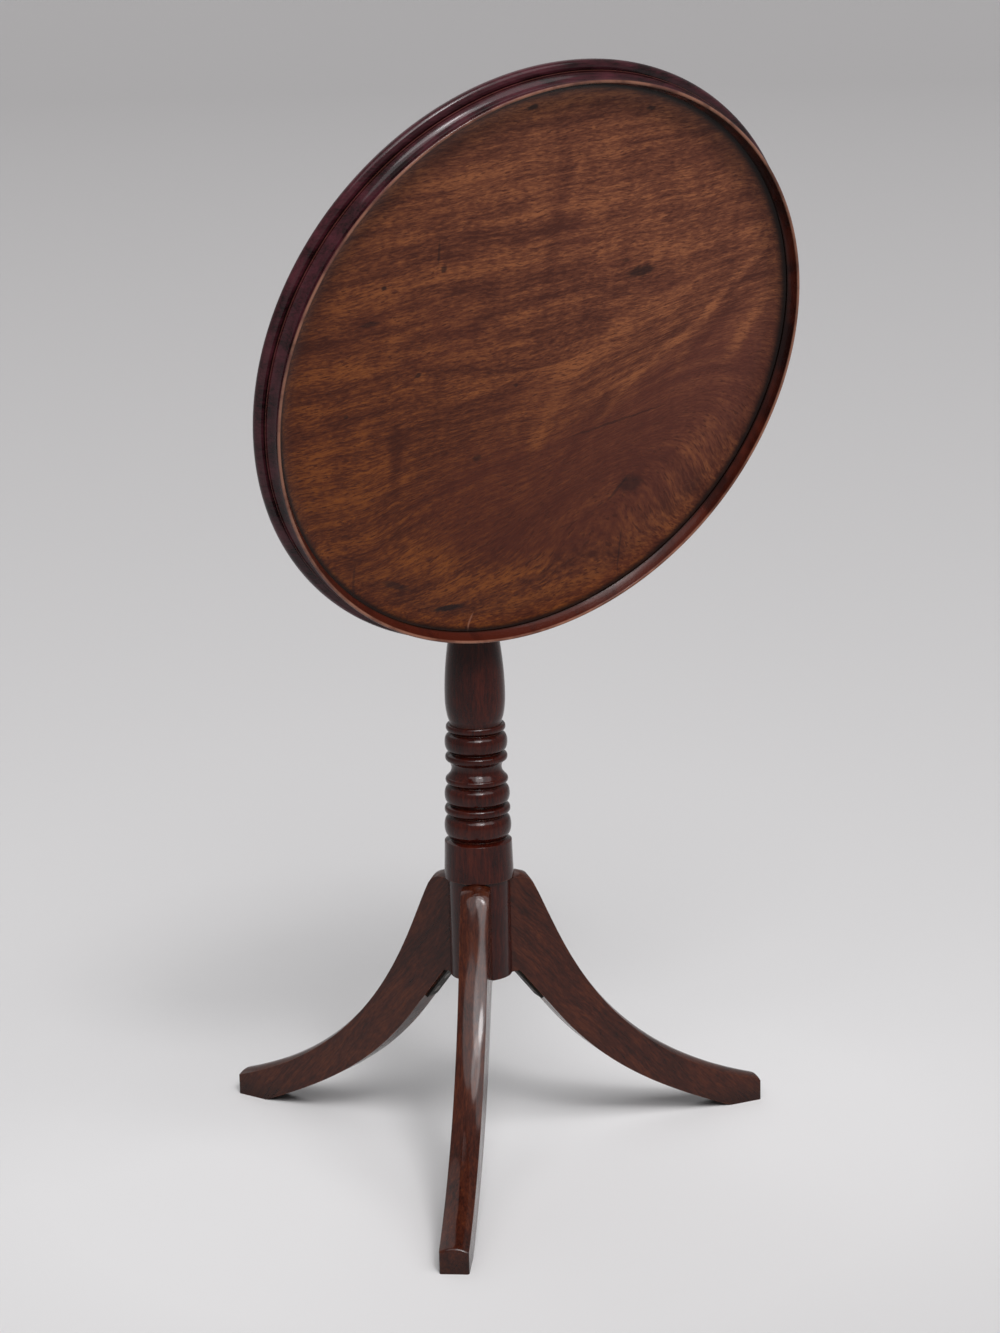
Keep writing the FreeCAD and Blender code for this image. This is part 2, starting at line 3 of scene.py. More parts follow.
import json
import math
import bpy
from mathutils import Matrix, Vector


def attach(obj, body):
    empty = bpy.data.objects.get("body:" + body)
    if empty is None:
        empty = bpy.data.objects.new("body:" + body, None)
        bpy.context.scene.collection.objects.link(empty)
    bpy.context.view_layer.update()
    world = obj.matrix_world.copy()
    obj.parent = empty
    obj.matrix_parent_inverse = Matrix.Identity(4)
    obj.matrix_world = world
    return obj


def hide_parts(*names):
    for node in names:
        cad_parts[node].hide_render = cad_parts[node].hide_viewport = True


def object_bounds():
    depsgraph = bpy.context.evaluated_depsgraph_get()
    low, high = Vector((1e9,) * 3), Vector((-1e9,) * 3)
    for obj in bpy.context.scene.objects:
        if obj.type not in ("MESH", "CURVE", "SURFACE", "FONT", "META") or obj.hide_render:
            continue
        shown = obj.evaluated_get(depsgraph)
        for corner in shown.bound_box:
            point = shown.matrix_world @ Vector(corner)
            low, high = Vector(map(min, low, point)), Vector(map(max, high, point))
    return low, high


bl_info = {
    "name": "Tip-up tripod table",
    "version": (1, 0, 0),
    "blender": (4, 5, 0),
    "location": "3D View > Sidebar > Table",
    "description": "Dresses a tip-up tripod table in polished mahogany, brass and iron",
    "category": "Object",
}

from functools import partial

import bpy
from bpy.props import FloatProperty, FloatVectorProperty, IntProperty, PointerProperty
from mathutils import Matrix, Vector

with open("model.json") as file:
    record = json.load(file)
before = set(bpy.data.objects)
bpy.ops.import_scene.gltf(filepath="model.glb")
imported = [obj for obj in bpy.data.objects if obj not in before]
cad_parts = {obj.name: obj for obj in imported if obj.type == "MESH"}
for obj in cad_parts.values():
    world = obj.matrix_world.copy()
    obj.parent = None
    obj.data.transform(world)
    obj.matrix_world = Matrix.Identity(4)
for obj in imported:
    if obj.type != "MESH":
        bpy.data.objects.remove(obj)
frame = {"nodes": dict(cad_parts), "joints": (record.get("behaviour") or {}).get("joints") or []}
cad_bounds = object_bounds()

millimetre = 0.001
tilt_joint = next(joint for joint in frame["joints"] if joint["name"] == "top_tilt")
pins = Vector(tilt_joint["pos_m"])
tilt_travel = math.radians(tilt_joint["range_deg"][1])
tip_turn = Matrix.Rotation(tilt_travel, 3, "X")
upright_turn = Matrix.Rotation(-math.pi / 2, 3, "Y")
weld_reach = 0.01 * millimetre
smooth_turn = math.radians(35)


def linear(code):
    """An sRGB hex colour as linear red, green, blue and alpha."""
    channels = [int(code[start : start + 2], 16) / 255 for start in (0, 2, 4)]
    return [c / 12.92 if c <= 0.04045 else ((c + 0.055) / 1.055) ** 2.4 for c in channels] + [1.0]


def size(name, description, millimetres):
    """A length that a user may change, given in millimetres."""
    start = millimetres * millimetre
    return FloatProperty(name=name, description=description, default=start, unit="LENGTH", precision=5)


def colour(name, description, code):
    """A colour that a user may change, given as sRGB hex."""
    start = linear(code)
    return FloatVectorProperty(name=name, description=description, default=start, size=4, subtype="COLOR")


def amount(name, description, start):
    """A plain number that a user may change."""
    return FloatProperty(name=name, description=description, default=start)


def turn(name, description, degrees):
    """An angle that a user may change, given in degrees."""
    start = math.radians(degrees)
    return FloatProperty(name=name, description=description, default=start, subtype="ANGLE")


class TopSizes(bpy.types.PropertyGroup):
    """The turned top, as it lies when level."""

    diameter: size("Diameter", "Across the bead", 529.8)
    underside: size("Underside", "Height of the level top's underside", 696.0)
    rim_height: size("Rim height", "From the underside to the lip's crest", 31.0)
    field_thickness: size("Field", "Thickness of the board in its field", 15.5)
    bead_radius: size("Bead", "Radius of the bead round the edge", 5.0)
    quirk_width: size("Quirk", "Width of the slot above the bead", 1.4)
    quirk_depth: size("Quirk depth", "How far the slot goes in", 3.0)
    fillet_width: size("Fillet", "Height of the flat below the cove", 1.0)
    fillet_step: size("Fillet step", "How far the flat stands out of the slot", 1.2)
    lip_setback: size("Lip setback", "From the bead's edge to the lip's outside", 8.5)
    lip_thickness: size("Lip", "Thickness of the lip", 3.0)
    cove_depth: size("Cove", "Depth of the cove outside", 4.8)
    wall_height: size("Wall", "Height of the wall inside the lip", 8.5)
    wall_slope: size("Wall slope", "How far the wall leans in", 4.0)
    wall_hollow: size("Wall hollow", "How hollow the wall is", 0.5)
    inner_quirk: size("Inner quirk", "Step at the wall's foot", 1.0)
    hollow_width: size("Hollow", "Width of the sweep from wall to field", 16.0)
    arris: size("Arris", "Rounding of the worn edges", 0.3)
    sides: IntProperty(name="Sides", description="Facets round the top", default=288)


class ColumnSizes(bpy.types.PropertyGroup):
    """The turned column."""

    drum_radius: size("Drum", "Radius of the part that takes the legs", 28.0)
    drum_bottom: size("Drum foot", "Height of the drum's underside", 170.0)
    drum_height: size("Drum height", "From its underside to the collar", 92.0)
    collar_radius: size("Collar", "Radius of the collar's foot", 31.4)
    stack_height: size("Stack", "Height of the rings above the collar's foot", 144.6)
    groove_depth: size("Groove", "Depth of the cuts between the rings", 1.5)
    bulb_height: size("Bulb", "Height of the bulb's widest part", 23.4)
    rest_radius: size("Rest", "Radius where the tipped top leans", 21.1)
    rest_height: size("Rest height", "Height where the tipped top leans", 492.65)
    shaft_radius: size("Shaft", "Radius of the slim shaft", 14.8)
    neck_radius: size("Neck", "Radius of the neck", 13.6)
    neck_ring_radius: size("Neck ring", "Radius of the ring on the neck", 16.2)
    cap_radius: size("Cap", "Radius of the cap below the block", 20.0)
    block_bottom: size("Block foot", "Height of the pivot block's underside", 667.7)
    tenon_radius: size("Tenon", "Radius of the tenon through the block", 14.95)
    tenon_top: size("Tenon top", "Height of the tenon's end", 695.7)
    wedge_width: size("Kerf", "Width of the kerf that takes the wedge", 5.1)
    wedge_depth: size("Kerf depth", "Depth of the kerf", 24.0)
    arris: size("Arris", "Rounding of the worn edges", 0.3)
    sides: IntProperty(name="Sides", description="Facets round the column", default=144)


class LegSizes(bpy.types.PropertyGroup):
    """One sabre leg, seen from its side, from the column out."""

    width: size("Width", "Thickness of the leg's board", 25.5)
    crown_radius: size("Crown", "Radius of the rounding across the top", 24.0)
    crown_trim: size("Crown trim", "How far the crown lies under the outline", 0.15)
    root_reach: size("Root", "Where the leg starts inside the drum", 23.5)
    top: size("Top", "Height of the leg's flat top", 261.95)
    shoulder_reach: size("Shoulder", "Where the top line turns down", 44.6)
    shoulder_radius: size("Shoulder round", "Radius of that turn", 12.0)
    slope: turn("Slope", "Fall of the leg below the shoulder", 61.7)
    toe_slope: turn("Toe slope", "Fall of the leg at its toe", 18.1)
    reach: size("Reach", "From the column's axis to the toe", 284.0)
    toe_height: size("Toe", "Height of the toe's end", 22.8)
    upper_handle: size("Upper handle", "Length of the curve's upper handle", 59.0)
    toe_handle: size("Toe handle", "Length of the curve's lower handle", 188.0)
    underside_start: size("Bend", "Where the underside turns down", 33.0)
    underside_slope: turn("Underside slope", "Fall of the underside's straight", 51.3)
    underside_straight: size("Straight", "Length of the underside's straight", 62.0)
    underside_handle: size("Underside handle", "Handle below the straight", 73.0)
    pad_length: size("Pad", "Length of the flat pad on the floor", 33.0)
    heel_slope: turn("Heel slope", "Fall of the underside at the heel", 22.6)
    heel_handle: size("Heel handle", "Length of the handle at the heel", 85.0)
    toe_round: size("Toe round", "Rounding of the toe's end", 2.2)
    arris: size("Arris", "Rounding of the worn edges", 0.9)
    first_angle: turn("First leg", "Where the first leg stands round the column", -7.5)


class WoodColours(bpy.types.PropertyGroup):
    """Colours of the table's mahogany."""

    field_dark: colour("Field, dark", "Dark figure of the field", "3d180c")
    field_middle: colour("Field, middle", "Body colour of the field", "582a14")
    field_gold: colour("Field, gold", "Lit streaks of the field", "7a421b")
    field_red: colour("Field, red", "Red heart of the crotch figure", "4c1f14")
    # Painted shade towards the rim, with some gathered wax
    field_shade: colour("Field, shade", "Wax gathered towards the rim", "260c07")
    # Also painted shade on the wall towards the upper right
    wall_dark: colour("Wall, dark", "Dark grain of the wall inside the lip", "1c0705")
    wall_body: colour("Wall", "Body colour of the wall inside the lip", "44190f")
    rim_dark: colour("Rim, dark", "Black wax in the mouldings", "190a0c")
    rim_body: colour("Rim", "Body colour of the rim", "4a2028")
    # Also the painted highlight along the lip's crest
    lip_glint_and_wear: colour("Lip, worn", "Crest of the lip, rubbed bare", "8f6350")
    column_dark: colour("Column, dark", "Dark grain of the column", "130202")
    column_body: colour("Column", "Body colour of the column", "2f0a05")
    column_red: colour("Column, red", "Lit grain of the column", "4a180b")
    leg_dark: colour("Leg, dark", "Dark grain of the legs", "1c0804")
    leg_body: colour("Leg", "Body colour of the legs", "38160c")
    leg_red: colour("Leg, red", "Lit grain of the legs", "582a14")
    worn: colour("Worn", "Edges rubbed through the polish", "7d4630")
    # Wax and dust in the recesses, used as well for painted shade there, at the wall's foot and towards the
    # rim
    grime_and_shade: colour("Grime", "Wax and dust in the recesses", "0c0504")
    ink: colour("Ink", "Ink and burn marks", "150d10")
    raw_dark: colour("Raw, dark", "Dark grain of the unpolished wood", "3b2418")
    raw_body: colour("Raw", "Unpolished, darkened mahogany", "6b452e")


class StageSizes(bpy.types.PropertyGroup):
    """Camera, floor and lamps."""

    distance: size("Distance", "Camera to the column's axis, on the floor", 2772.2)
    height: size("Height", "Camera's height", 1106.15)
    bearing: turn("Bearing", "How far the camera stands round the table", -31.68)
    yaw: turn("Yaw", "How far the camera looks past the axis", -0.475)
    pitch: turn("Pitch", "How far the camera looks down", 13.219)
    roll: turn("Roll", "How far the camera is rolled", -1.268)
    lens: amount("Lens", "Focal length for a 36 mm long side", 86.42)
    floor_reach: amount("Floor", "Half the floor's size in metres", 120.0)
    # The floor is painted paler round the table and darker far off, as a falloff of light
    floor_grey: colour("Floor", "Floor round the table", "dedede")
    floor_far: colour("Floor, far", "Floor far behind the table", "a7a6a6")
    sky: amount("Sky", "Strength of the even light", 0.08)
    sky_colour: colour("Sky colour", "Colour of the even light", "e8eaee")


def points_on_arc(start, middle, end, parts):
    """Points on the arc through three places, without its start."""
    ax, ay, bx, by, cx, cy = *start, *middle, *end
    area = 2 * (ax * (by - cy) + bx * (cy - ay) + cx * (ay - by))
    a2, b2, c2 = ax * ax + ay * ay, bx * bx + by * by, cx * cx + cy * cy
    centre_x = (a2 * (by - cy) + b2 * (cy - ay) + c2 * (ay - by)) / area
    centre_y = (a2 * (cx - bx) + b2 * (ax - cx) + c2 * (bx - ax)) / area
    radius = math.hypot(ax - centre_x, ay - centre_y)
    first = math.atan2(ay - centre_y, ax - centre_x)
    way = -1 if area < 0 else 1
    sweep = (way * (math.atan2(cy - centre_y, cx - centre_x) - first)) % math.tau * way
    angles = [first + sweep * part / parts for part in range(1, parts + 1)]
    return [(centre_x + radius * math.cos(a), centre_y + radius * math.sin(a)) for a in angles]


def points_on_curve(poles, parts):
    """Points on a Bezier curve with four poles, without its start."""
    points = []
    for part in range(1, parts + 1):
        t = part / parts
        weights = ((1 - t) ** 3, 3 * t * (1 - t) ** 2, 3 * t * t * (1 - t), t ** 3)
        points.append(tuple(sum(w * pole[axis] for w, pole in zip(weights, poles)) for axis in (0, 1)))
    return points


def points_along(start, steps, parts):
    """Points from a start on: a step of 1 place is a line, of 2 an arc, of 3 a Bezier curve."""
    points = [start]
    for step in steps:
        if len(step) == 1:
            points.append(step[0])
        elif len(step) == 2:
            points += points_on_arc(points[-1], step[0], step[1], parts)
        else:
            points += points_on_curve([points[-1]] + step, parts)
    return points


def select_nothing():
    """Leaves edit mode and deselects every object."""
    if bpy.context.object and bpy.context.object.mode != "OBJECT":
        bpy.ops.object.mode_set(mode="OBJECT")
    bpy.ops.object.select_all(action="DESELECT")


def select_only(piece):
    """Selects one piece and makes it the active one."""
    select_nothing()
    piece.select_set(True)
    bpy.context.view_layer.objects.active = piece


def start_piece(name):
    """A new plane drawn together to one corner, open in edit mode."""
    select_nothing()
    bpy.ops.mesh.primitive_plane_add(size=weld_reach, location=(0, 0, 0))
    piece = bpy.context.object
    piece.name = name
    piece.data.name = name
    bpy.ops.object.mode_set(mode="EDIT")
    bpy.ops.mesh.merge(type="CENTER")
    return piece


def draw_on(steps):
    """Extrudes the selected corner by each of a list of steps."""
    for step in steps:
        bpy.ops.mesh.extrude_vertices_move(TRANSFORM_OT_translate={"value": step})


def steps_between(points):
    """The moves in the XZ plane from each point to the next."""
    return [(b[0] - a[0], 0, b[1] - a[1]) for a, b in zip(points, points[1:])]


def turned_piece(name, points, sides):
    """A piece turned on the Z axis from an outline that starts and ends on it."""
    piece = start_piece(name)
    bpy.ops.transform.translate(value=(points[0][0], 0, points[0][1]))
    draw_on(steps_between(points))
    bpy.ops.mesh.select_all(action="SELECT")
    bpy.ops.mesh.spin(steps=sides, angle=math.tau, center=(0, 0, 0), axis=(0, 0, 1))
    bpy.ops.mesh.select_all(action="SELECT")
    bpy.ops.mesh.remove_doubles(threshold=weld_reach)
    bpy.ops.mesh.normals_make_consistent(inside=False)
    bpy.ops.object.mode_set(mode="OBJECT")
    return piece


def apply_modifier(piece, kind, settings):
    """Adds a modifier with its settings and applies it."""
    select_only(piece)
    modifier = piece.modifiers.new(kind.lower(), kind)
    for key, value in settings.items():
        setattr(modifier, key, value)
    bpy.ops.object.modifier_apply(modifier=modifier.name)


def soften(piece, arris, sharp_degrees):
    """Rounds a piece's arrises sharper than an angle, and shades it smooth between them."""
    rounding = {"width": arris, "segments": 2, "limit_method": "ANGLE"}
    apply_modifier(piece, "BEVEL", {**rounding, "angle_limit": math.radians(sharp_degrees)})
    bpy.ops.object.shade_smooth_by_angle(angle=smooth_turn)
    apply_modifier(piece, "WEIGHTED_NORMAL", {"keep_sharp": True})


def settle(piece, matrix):
    """Moves a piece by a matrix and puts that move into its mesh."""
    select_only(piece)
    piece.matrix_world = matrix
    bpy.ops.object.transform_apply(location=True, rotation=True, scale=True)


# Settings that many nodes share
in_colour = {"data_type": "RGBA"}
smoothly = {"interpolation_type": "SMOOTHSTEP"}
as_texture = {"vector_type": "TEXTURE"}
plus = {"operation": "ADD"}
minus = {"operation": "SUBTRACT"}
times = {"operation": "MULTIPLY"}
times_plus = {"operation": "MULTIPLY_ADD"}
larger = {"operation": "MAXIMUM"}
along_way = {"operation": "DOT_PRODUCT"}
as_length = {"operation": "LENGTH"}


def add_node(tree, kind, inputs=(), settings=None, stops=()):
    """Adds a node, sets it up and fills or links its inputs: a list goes by their order, a dictionary by
    their names. A node among them stands for its first output in use. Stops are those of a ramp."""
    node = tree.nodes.new("ShaderNode" + kind)
    for key, value in (settings or {}).items():
        setattr(node, key, value)
    if isinstance(inputs, dict):
        pairs = [(node.inputs[name], value) for name, value in inputs.items()]
    else:
        pairs = zip([socket for socket in node.inputs if socket.enabled], inputs)
    for socket, value in pairs:
        if isinstance(value, bpy.types.Node):
            value = next(output for output in value.outputs if output.enabled)
        if isinstance(value, bpy.types.NodeSocket):
            tree.links.new(value, socket)
        else:
            socket.default_value = value
    if stops:
        while len(node.color_ramp.elements) < len(stops):
            node.color_ramp.elements.new(1.0)
        for element, (position, tint) in zip(node.color_ramp.elements, stops):
            element.position = position
            element.color = tint
    return node


def new_material(name):
    """An empty material, and the function that adds nodes to it."""
    material = bpy.data.materials.new(name)
    material.use_nodes = True
    material.node_tree.nodes.clear()
    return material, partial(add_node, material.node_tree)


def drawn_out(add, place, layers):
    """Noises drawn out along X, one for each layer of a finish."""
    noises = []
    for along, across, detail, roughness in layers:
        span = Vector((along, across, across)) * millimetre
        scaled = add("Mapping", {"Vector": place, "Scale": span}, as_texture)
        noises.append(add("TexNoise", [scaled, 1.0, detail, roughness]))
    return noises


def wandered(add, place, *bends):
    """A place pushed sideways by soft noise of each span and reach in millimetres, so the grain wanders."""
    for span, reach in bends:
        noise = add("TexNoise", [place, 1 / (span * millimetre), 2.0, 0.5])
        centred = add("VectorMath", [noise.outputs["Color"], (0.5, 0.5, 0.5)], minus)
        push = Vector((0, reach, reach)) * millimetre
        place = add("VectorMath", [centred, push, place], times_plus)
    return place


def soft_spot(add, place, centre, spans, degrees, fade, share):
    """A spot on the field that fades over a range of distances, where 1 is on the ellipse round it."""
    shape = {
        "Vector": place,
        "Location": Vector((*centre, 0)) * millimetre,
        "Rotation": (0, 0, math.radians(degrees)),
        "Scale": (spans[0] * millimetre, spans[1] * millimetre, 1.0),
    }
    distance = add("VectorMath", [add("Mapping", shape, as_texture)], as_length)
    return add("MapRange", [distance, *fade, 0.0, share], smoothly)


def weighed(add, parts):
    """Noises added up about their middle, each with its weight: about 0.5 on average."""
    total = 0.5 - sum(weight for value, weight in parts) / 2
    for value, weight in parts:
        total = add("Math", [value, weight, total], times_plus)
    return total


def stained(add, tint, *stains):
    """A tint with stains over it in order, each up to a share where its value goes from low to high."""
    for value, low, high, share, stain in stains:
        mask = add("MapRange", [value, low, high, 0.0, share], smoothly)
        tint = add("Mix", [mask, tint, stain], in_colour)
    return tint


def grimed_and_shaded(add, tint, stain, reach, hemmed_in, share):
    """A tint with grime and painted shade in its recesses, up to how open they are within a reach in
    millimetres, and how open each place is."""
    inputs = {"Distance": reach * millimetre}
    openness = add("AmbientOcclusion", inputs, {"samples": 8, "only_local": True}).outputs["AO"]
    return stained(add, tint, (openness, hemmed_in, hemmed_in / 2, share, stain)), openness


def rubbed_edges(add, tint, openness, radius, share):
    """Open edges, within a radius in millimetres, that hands have rubbed bright up to a share."""
    rounded = add("Bevel", [radius * millimetre], {"samples": 6})
    plain = add("NewGeometry").outputs["Normal"]
    match = add("VectorMath", [rounded, plain], along_way)
    bright = add("MapRange", [match, 0.985, 0.90, 0.0, share], smoothly)
    rubbed = add("Math", [bright, openness], times)
    return add("Mix", [rubbed, tint, bpy.context.scene.table_wood.worn], in_colour)


def gloss(specular, wax, wax_roughness):
    """How polished wood shines: the wood itself, then the wax's share and roughness."""
    return {
        "IOR": 1.5,
        "Specular IOR Level": specular,
        "Coat Weight": wax,
        "Coat Roughness": wax_roughness,
    }


def lay_surface(add, tint, rough, height, depth, shine, strength=1.0):
    """Ends a material: tint, roughness and shine over a relief of a depth in millimetres."""
    relief = add("Bump", {"Strength": strength, "Distance": depth * millimetre, "Height": height})
    surface = {"Base Color": tint, "Roughness": rough, "Normal": relief, **shine}
    add("OutputMaterial", [add("BsdfPrincipled", surface)])


field_gloss = gloss(0.08, 0.13, 0.12)
rim_gloss = gloss(0.04, 0.45, 0.12)
column_gloss = gloss(0.03, 0.50, 0.12)
leg_gloss = gloss(0.03, 0.50, 0.10)
pin_gloss = gloss(0.32, 0.0, 0.3)
raw_gloss = gloss(0.3, 0.0, 0.3)

# Layers of the finishes: length along the grain and width in millimetres, then the noise's detail and
# roughness. Flecks, fibres and pores are drawn 2 to 3 times coarser than they are, to show.
# The field's broad figure, streaks, flecks and pores
field_figure = ((200, 15, 3, 0.55), (60, 4, 3, 0.6), (7, 1.5, 2, 0.6), (7.5, 1.2, 1, 0.5))
# The field's mottle, red clouds and smears of the wax
field_weather = ((24, 60, 3, 0.6), (110, 80, 2, 0.5), (50, 30, 4, 0.6))
# Patches of the lip's crest that are lighter: rubbed bare, and painted as a highlight
lip_weather = ((30, 30, 3, 0.6),)
# The rim's clouds and fibres
rim_figure = ((50, 20, 4, 0.6), (20, 1.6, 3, 0.6))
# The same layers for column and legs as for the field, then their blotches, scuffs and smears
frame_figure = ((180, 16, 3, 0.5), (45, 3.2, 3, 0.6), (8.5, 1.4, 2, 0.6), (7.5, 1.2, 1, 0.5))
frame_weather = ((30, 22, 4, 0.6), (14, 9, 3, 0.65), (40, 20, 4, 0.6))
# The raw wood's broad figure and fibres, then its stains
raw_figure = ((220, 20, 3, 0.55), (40, 1.8, 4, 0.65))
raw_weather = ((120, 90, 4, 0.65),)
# The metals' clouds and specks, and the floor's grit
metal_weather = ((12, 12, 4, 0.65), (1.5, 1.5, 3, 0.6))
floor_weather = ((2, 2, 2, 0.5),)

# Swells that bend the straight grain into the crotch figure: centre, half length and half width
# in millimetres, turn in degrees, rise in millimetres
figure_swells = (
    ((160, -60), (230, 125), 40, 70),
    ((0, -125), (190, 115), -4, 32),
)

# How far the straight grain is turned from the pins' line
grain_tilt = math.radians(7)

# Towards the upper right of the tipped field, where the field is painted lighter as a veil of light, and
# its rim and wall are painted in deeper shade
upper_right_way = (0.6, 0.8, 0)

# How far the painted shade and wax at the rim fray inwards
rim_shade_fray = 16.0 * millimetre

# Golden zones of the field: centre, half length, half width, turn, share of the tint
golden_zones = (
    ((-175, -75), (70, 45), 25, 0.55),
    ((16, -50), (40, 11), 74, 0.9),
    ((52, 8), (70, 12), 36, 0.8),
    ((112, 44), (60, 12), 30, 0.6),
    ((110, -12), (60, 7), 46, 0.7),
    ((168, 40), (75, 6), 44, 0.9),
    ((148, -4), (18, 7), 62, 0.7),
    ((212, 20), (45, 9), 62, 0.6),
    ((176, -95), (45, 14), 60, 0.4),
    ((0, -214), (150, 20), 0, 0.4),
    ((-110, -165), (80, 14), -20, 0.3),
    ((-120, 165), (110, 30), 8, 0.35),
    ((70, 150), (110, 14), 6, 0.3),
    ((-90, 32), (150, 9), 12, 0.35),
    ((-30, 95), (160, 8), 8, 0.3),
)

# Dark zones of the field, given in the same way
dark_zones = (
    ((-131, -68), (44, 8), 98, 0.9),
    ((-85, -80), (75, 50), 10, 0.35),
    ((-178, -82), (14, 10), 0, 0.5),
    ((-60, 48), (130, 8), 11, 0.6),
    ((25, 36), (60, 13), 12, 0.6),
    ((-6, 120), (90, 9), 92, 0.5),
    ((40, 128), (130, 7), 9, 0.5),
    ((205, 66), (40, 9), 40, 0.8),
    ((175, 20), (85, 8), 43, 0.8),
    ((128, 12), (60, 6), 44, 0.6),
    ((60, -62), (60, 9), 64, 0.7),
    ((120, -70), (110, 34), 34, 0.40),
    ((60, -150), (130, 34), 4, 0.30),
    ((118, -120), (30, 22), 30, 0.8),
    ((215, -30), (50, 12), 76, 0.5),
)

# Marks on the field: centre, half length and half width in millimetres, turn in degrees, darkness share
field_marks = (
    ((-48.3, 230.8), (5.0, 2.6), 5, 0.85),
    ((68.1, 223.9), (4.5, 1.8), 0, 0.7),
    ((87.5, 78.6), (13.0, 5.0), 8, 0.75),
    ((70.0, 90.0), (4.0, 1.6), 0, 0.5),
    ((-164.4, 84.7), (2.4, 1.8), 0, 0.8),
    ((-110.0, 96.6), (2.8, 2.4), 0, 0.7),
    ((-117.0, 112.0), (1.2, 10.0), 5, 0.5),
    ((-172.8, 53.3), (9.0, 2.2), 4, 0.6),
    ((-119.9, 2.9), (3.2, 2.0), 30, 0.7),
    ((-183.7, -27.1), (2.2, 2.0), 0, 0.6),
    ((-21.2, -15.5), (2.2, 1.8), 0, 0.6),
    ((-49.0, -80.2), (4.2, 3.0), 0, 0.6),
    ((-111.2, -193.7), (14.0, 3.2), -22, 0.6),
    ((-54.6, -223.4), (15.0, 3.0), 0, 0.9),
    ((-155.0, -182.0), (1.2, 14.0), 0, 0.4),
    ((116.7, -124.1), (12.0, 8.0), 0, 0.5),
    ((104.0, -128.0), (14.0, 1.6), 52, 0.5),
    ((90.0, -61.0), (48.0, 1.0), 12, 0.5),
    ((118.0, -190.0), (0.9, 22.0), 4, 0.45),
    ((-31.0, -240.0), (0.9, 8.5), -22, -0.5),
)


# How zones, swells and marks fade, as distances where 1 is on the ellipse round each
zone_fade = (1.4, 0.1)
swell_fade = (1.0, 0.0)
mark_fade = (1.4, 0.6)


def zones(add, place, table):
    """How strongly any of a table's zones colours a place on the field."""
    strongest = 0.0
    for centre, spans, degrees, share in table:
        here = soft_spot(add, place, centre, spans, degrees, zone_fade, share)
        strongest = add("Math", [strongest, here], larger)
    return strongest


def marked(add, place, tint):
    """A tint with the field's marks over it: knocks and ink are dark, scratches bare."""
    wood = bpy.context.scene.table_wood
    ragged = wandered(add, place, (6, 4))
    for centre, spans, degrees, darkness in field_marks:
        mask = soft_spot(add, ragged, centre, spans, degrees, mark_fade, abs(darkness))
        stain = wood.ink if darkness > 0 else wood.lip_glint_and_wear
        tint = add("Mix", [mask, tint, stain], in_colour)
    return tint


def level_place(add, top):
    """A place on the top, measured from the field's centre as it lies level."""
    centre = Vector((0, 0, top.underside + top.field_thickness))
    level = {
        "Vector": add("TexCoord").outputs["Object"],
        "Location": pins + tip_turn @ (centre - pins),
        "Rotation": tip_turn.to_euler(),
    }
    return add("Mapping", level, as_texture)


def figure_flow(add, place):
    """How the field's grain runs, bent by the swells, and how near a place is to their hearts."""
    rise = 0.0
    heart = 0.0
    for centre, spans, degrees, height in figure_swells:
        swell = soft_spot(add, place, centre, spans, degrees, swell_fade, 1.0)
        rise = add("Math", [swell, -height * millimetre, rise], times_plus)
        heart = add("Math", [heart, swell], plus)
    bent = add("VectorMath", [place, add("CombineXYZ", {"Y": rise})], plus)
    tilted = add("Mapping", {"Vector": bent, "Rotation": (0, 0, grain_tilt)}, as_texture)
    return wandered(add, tilted, (150, 22), (35, 4)), heart


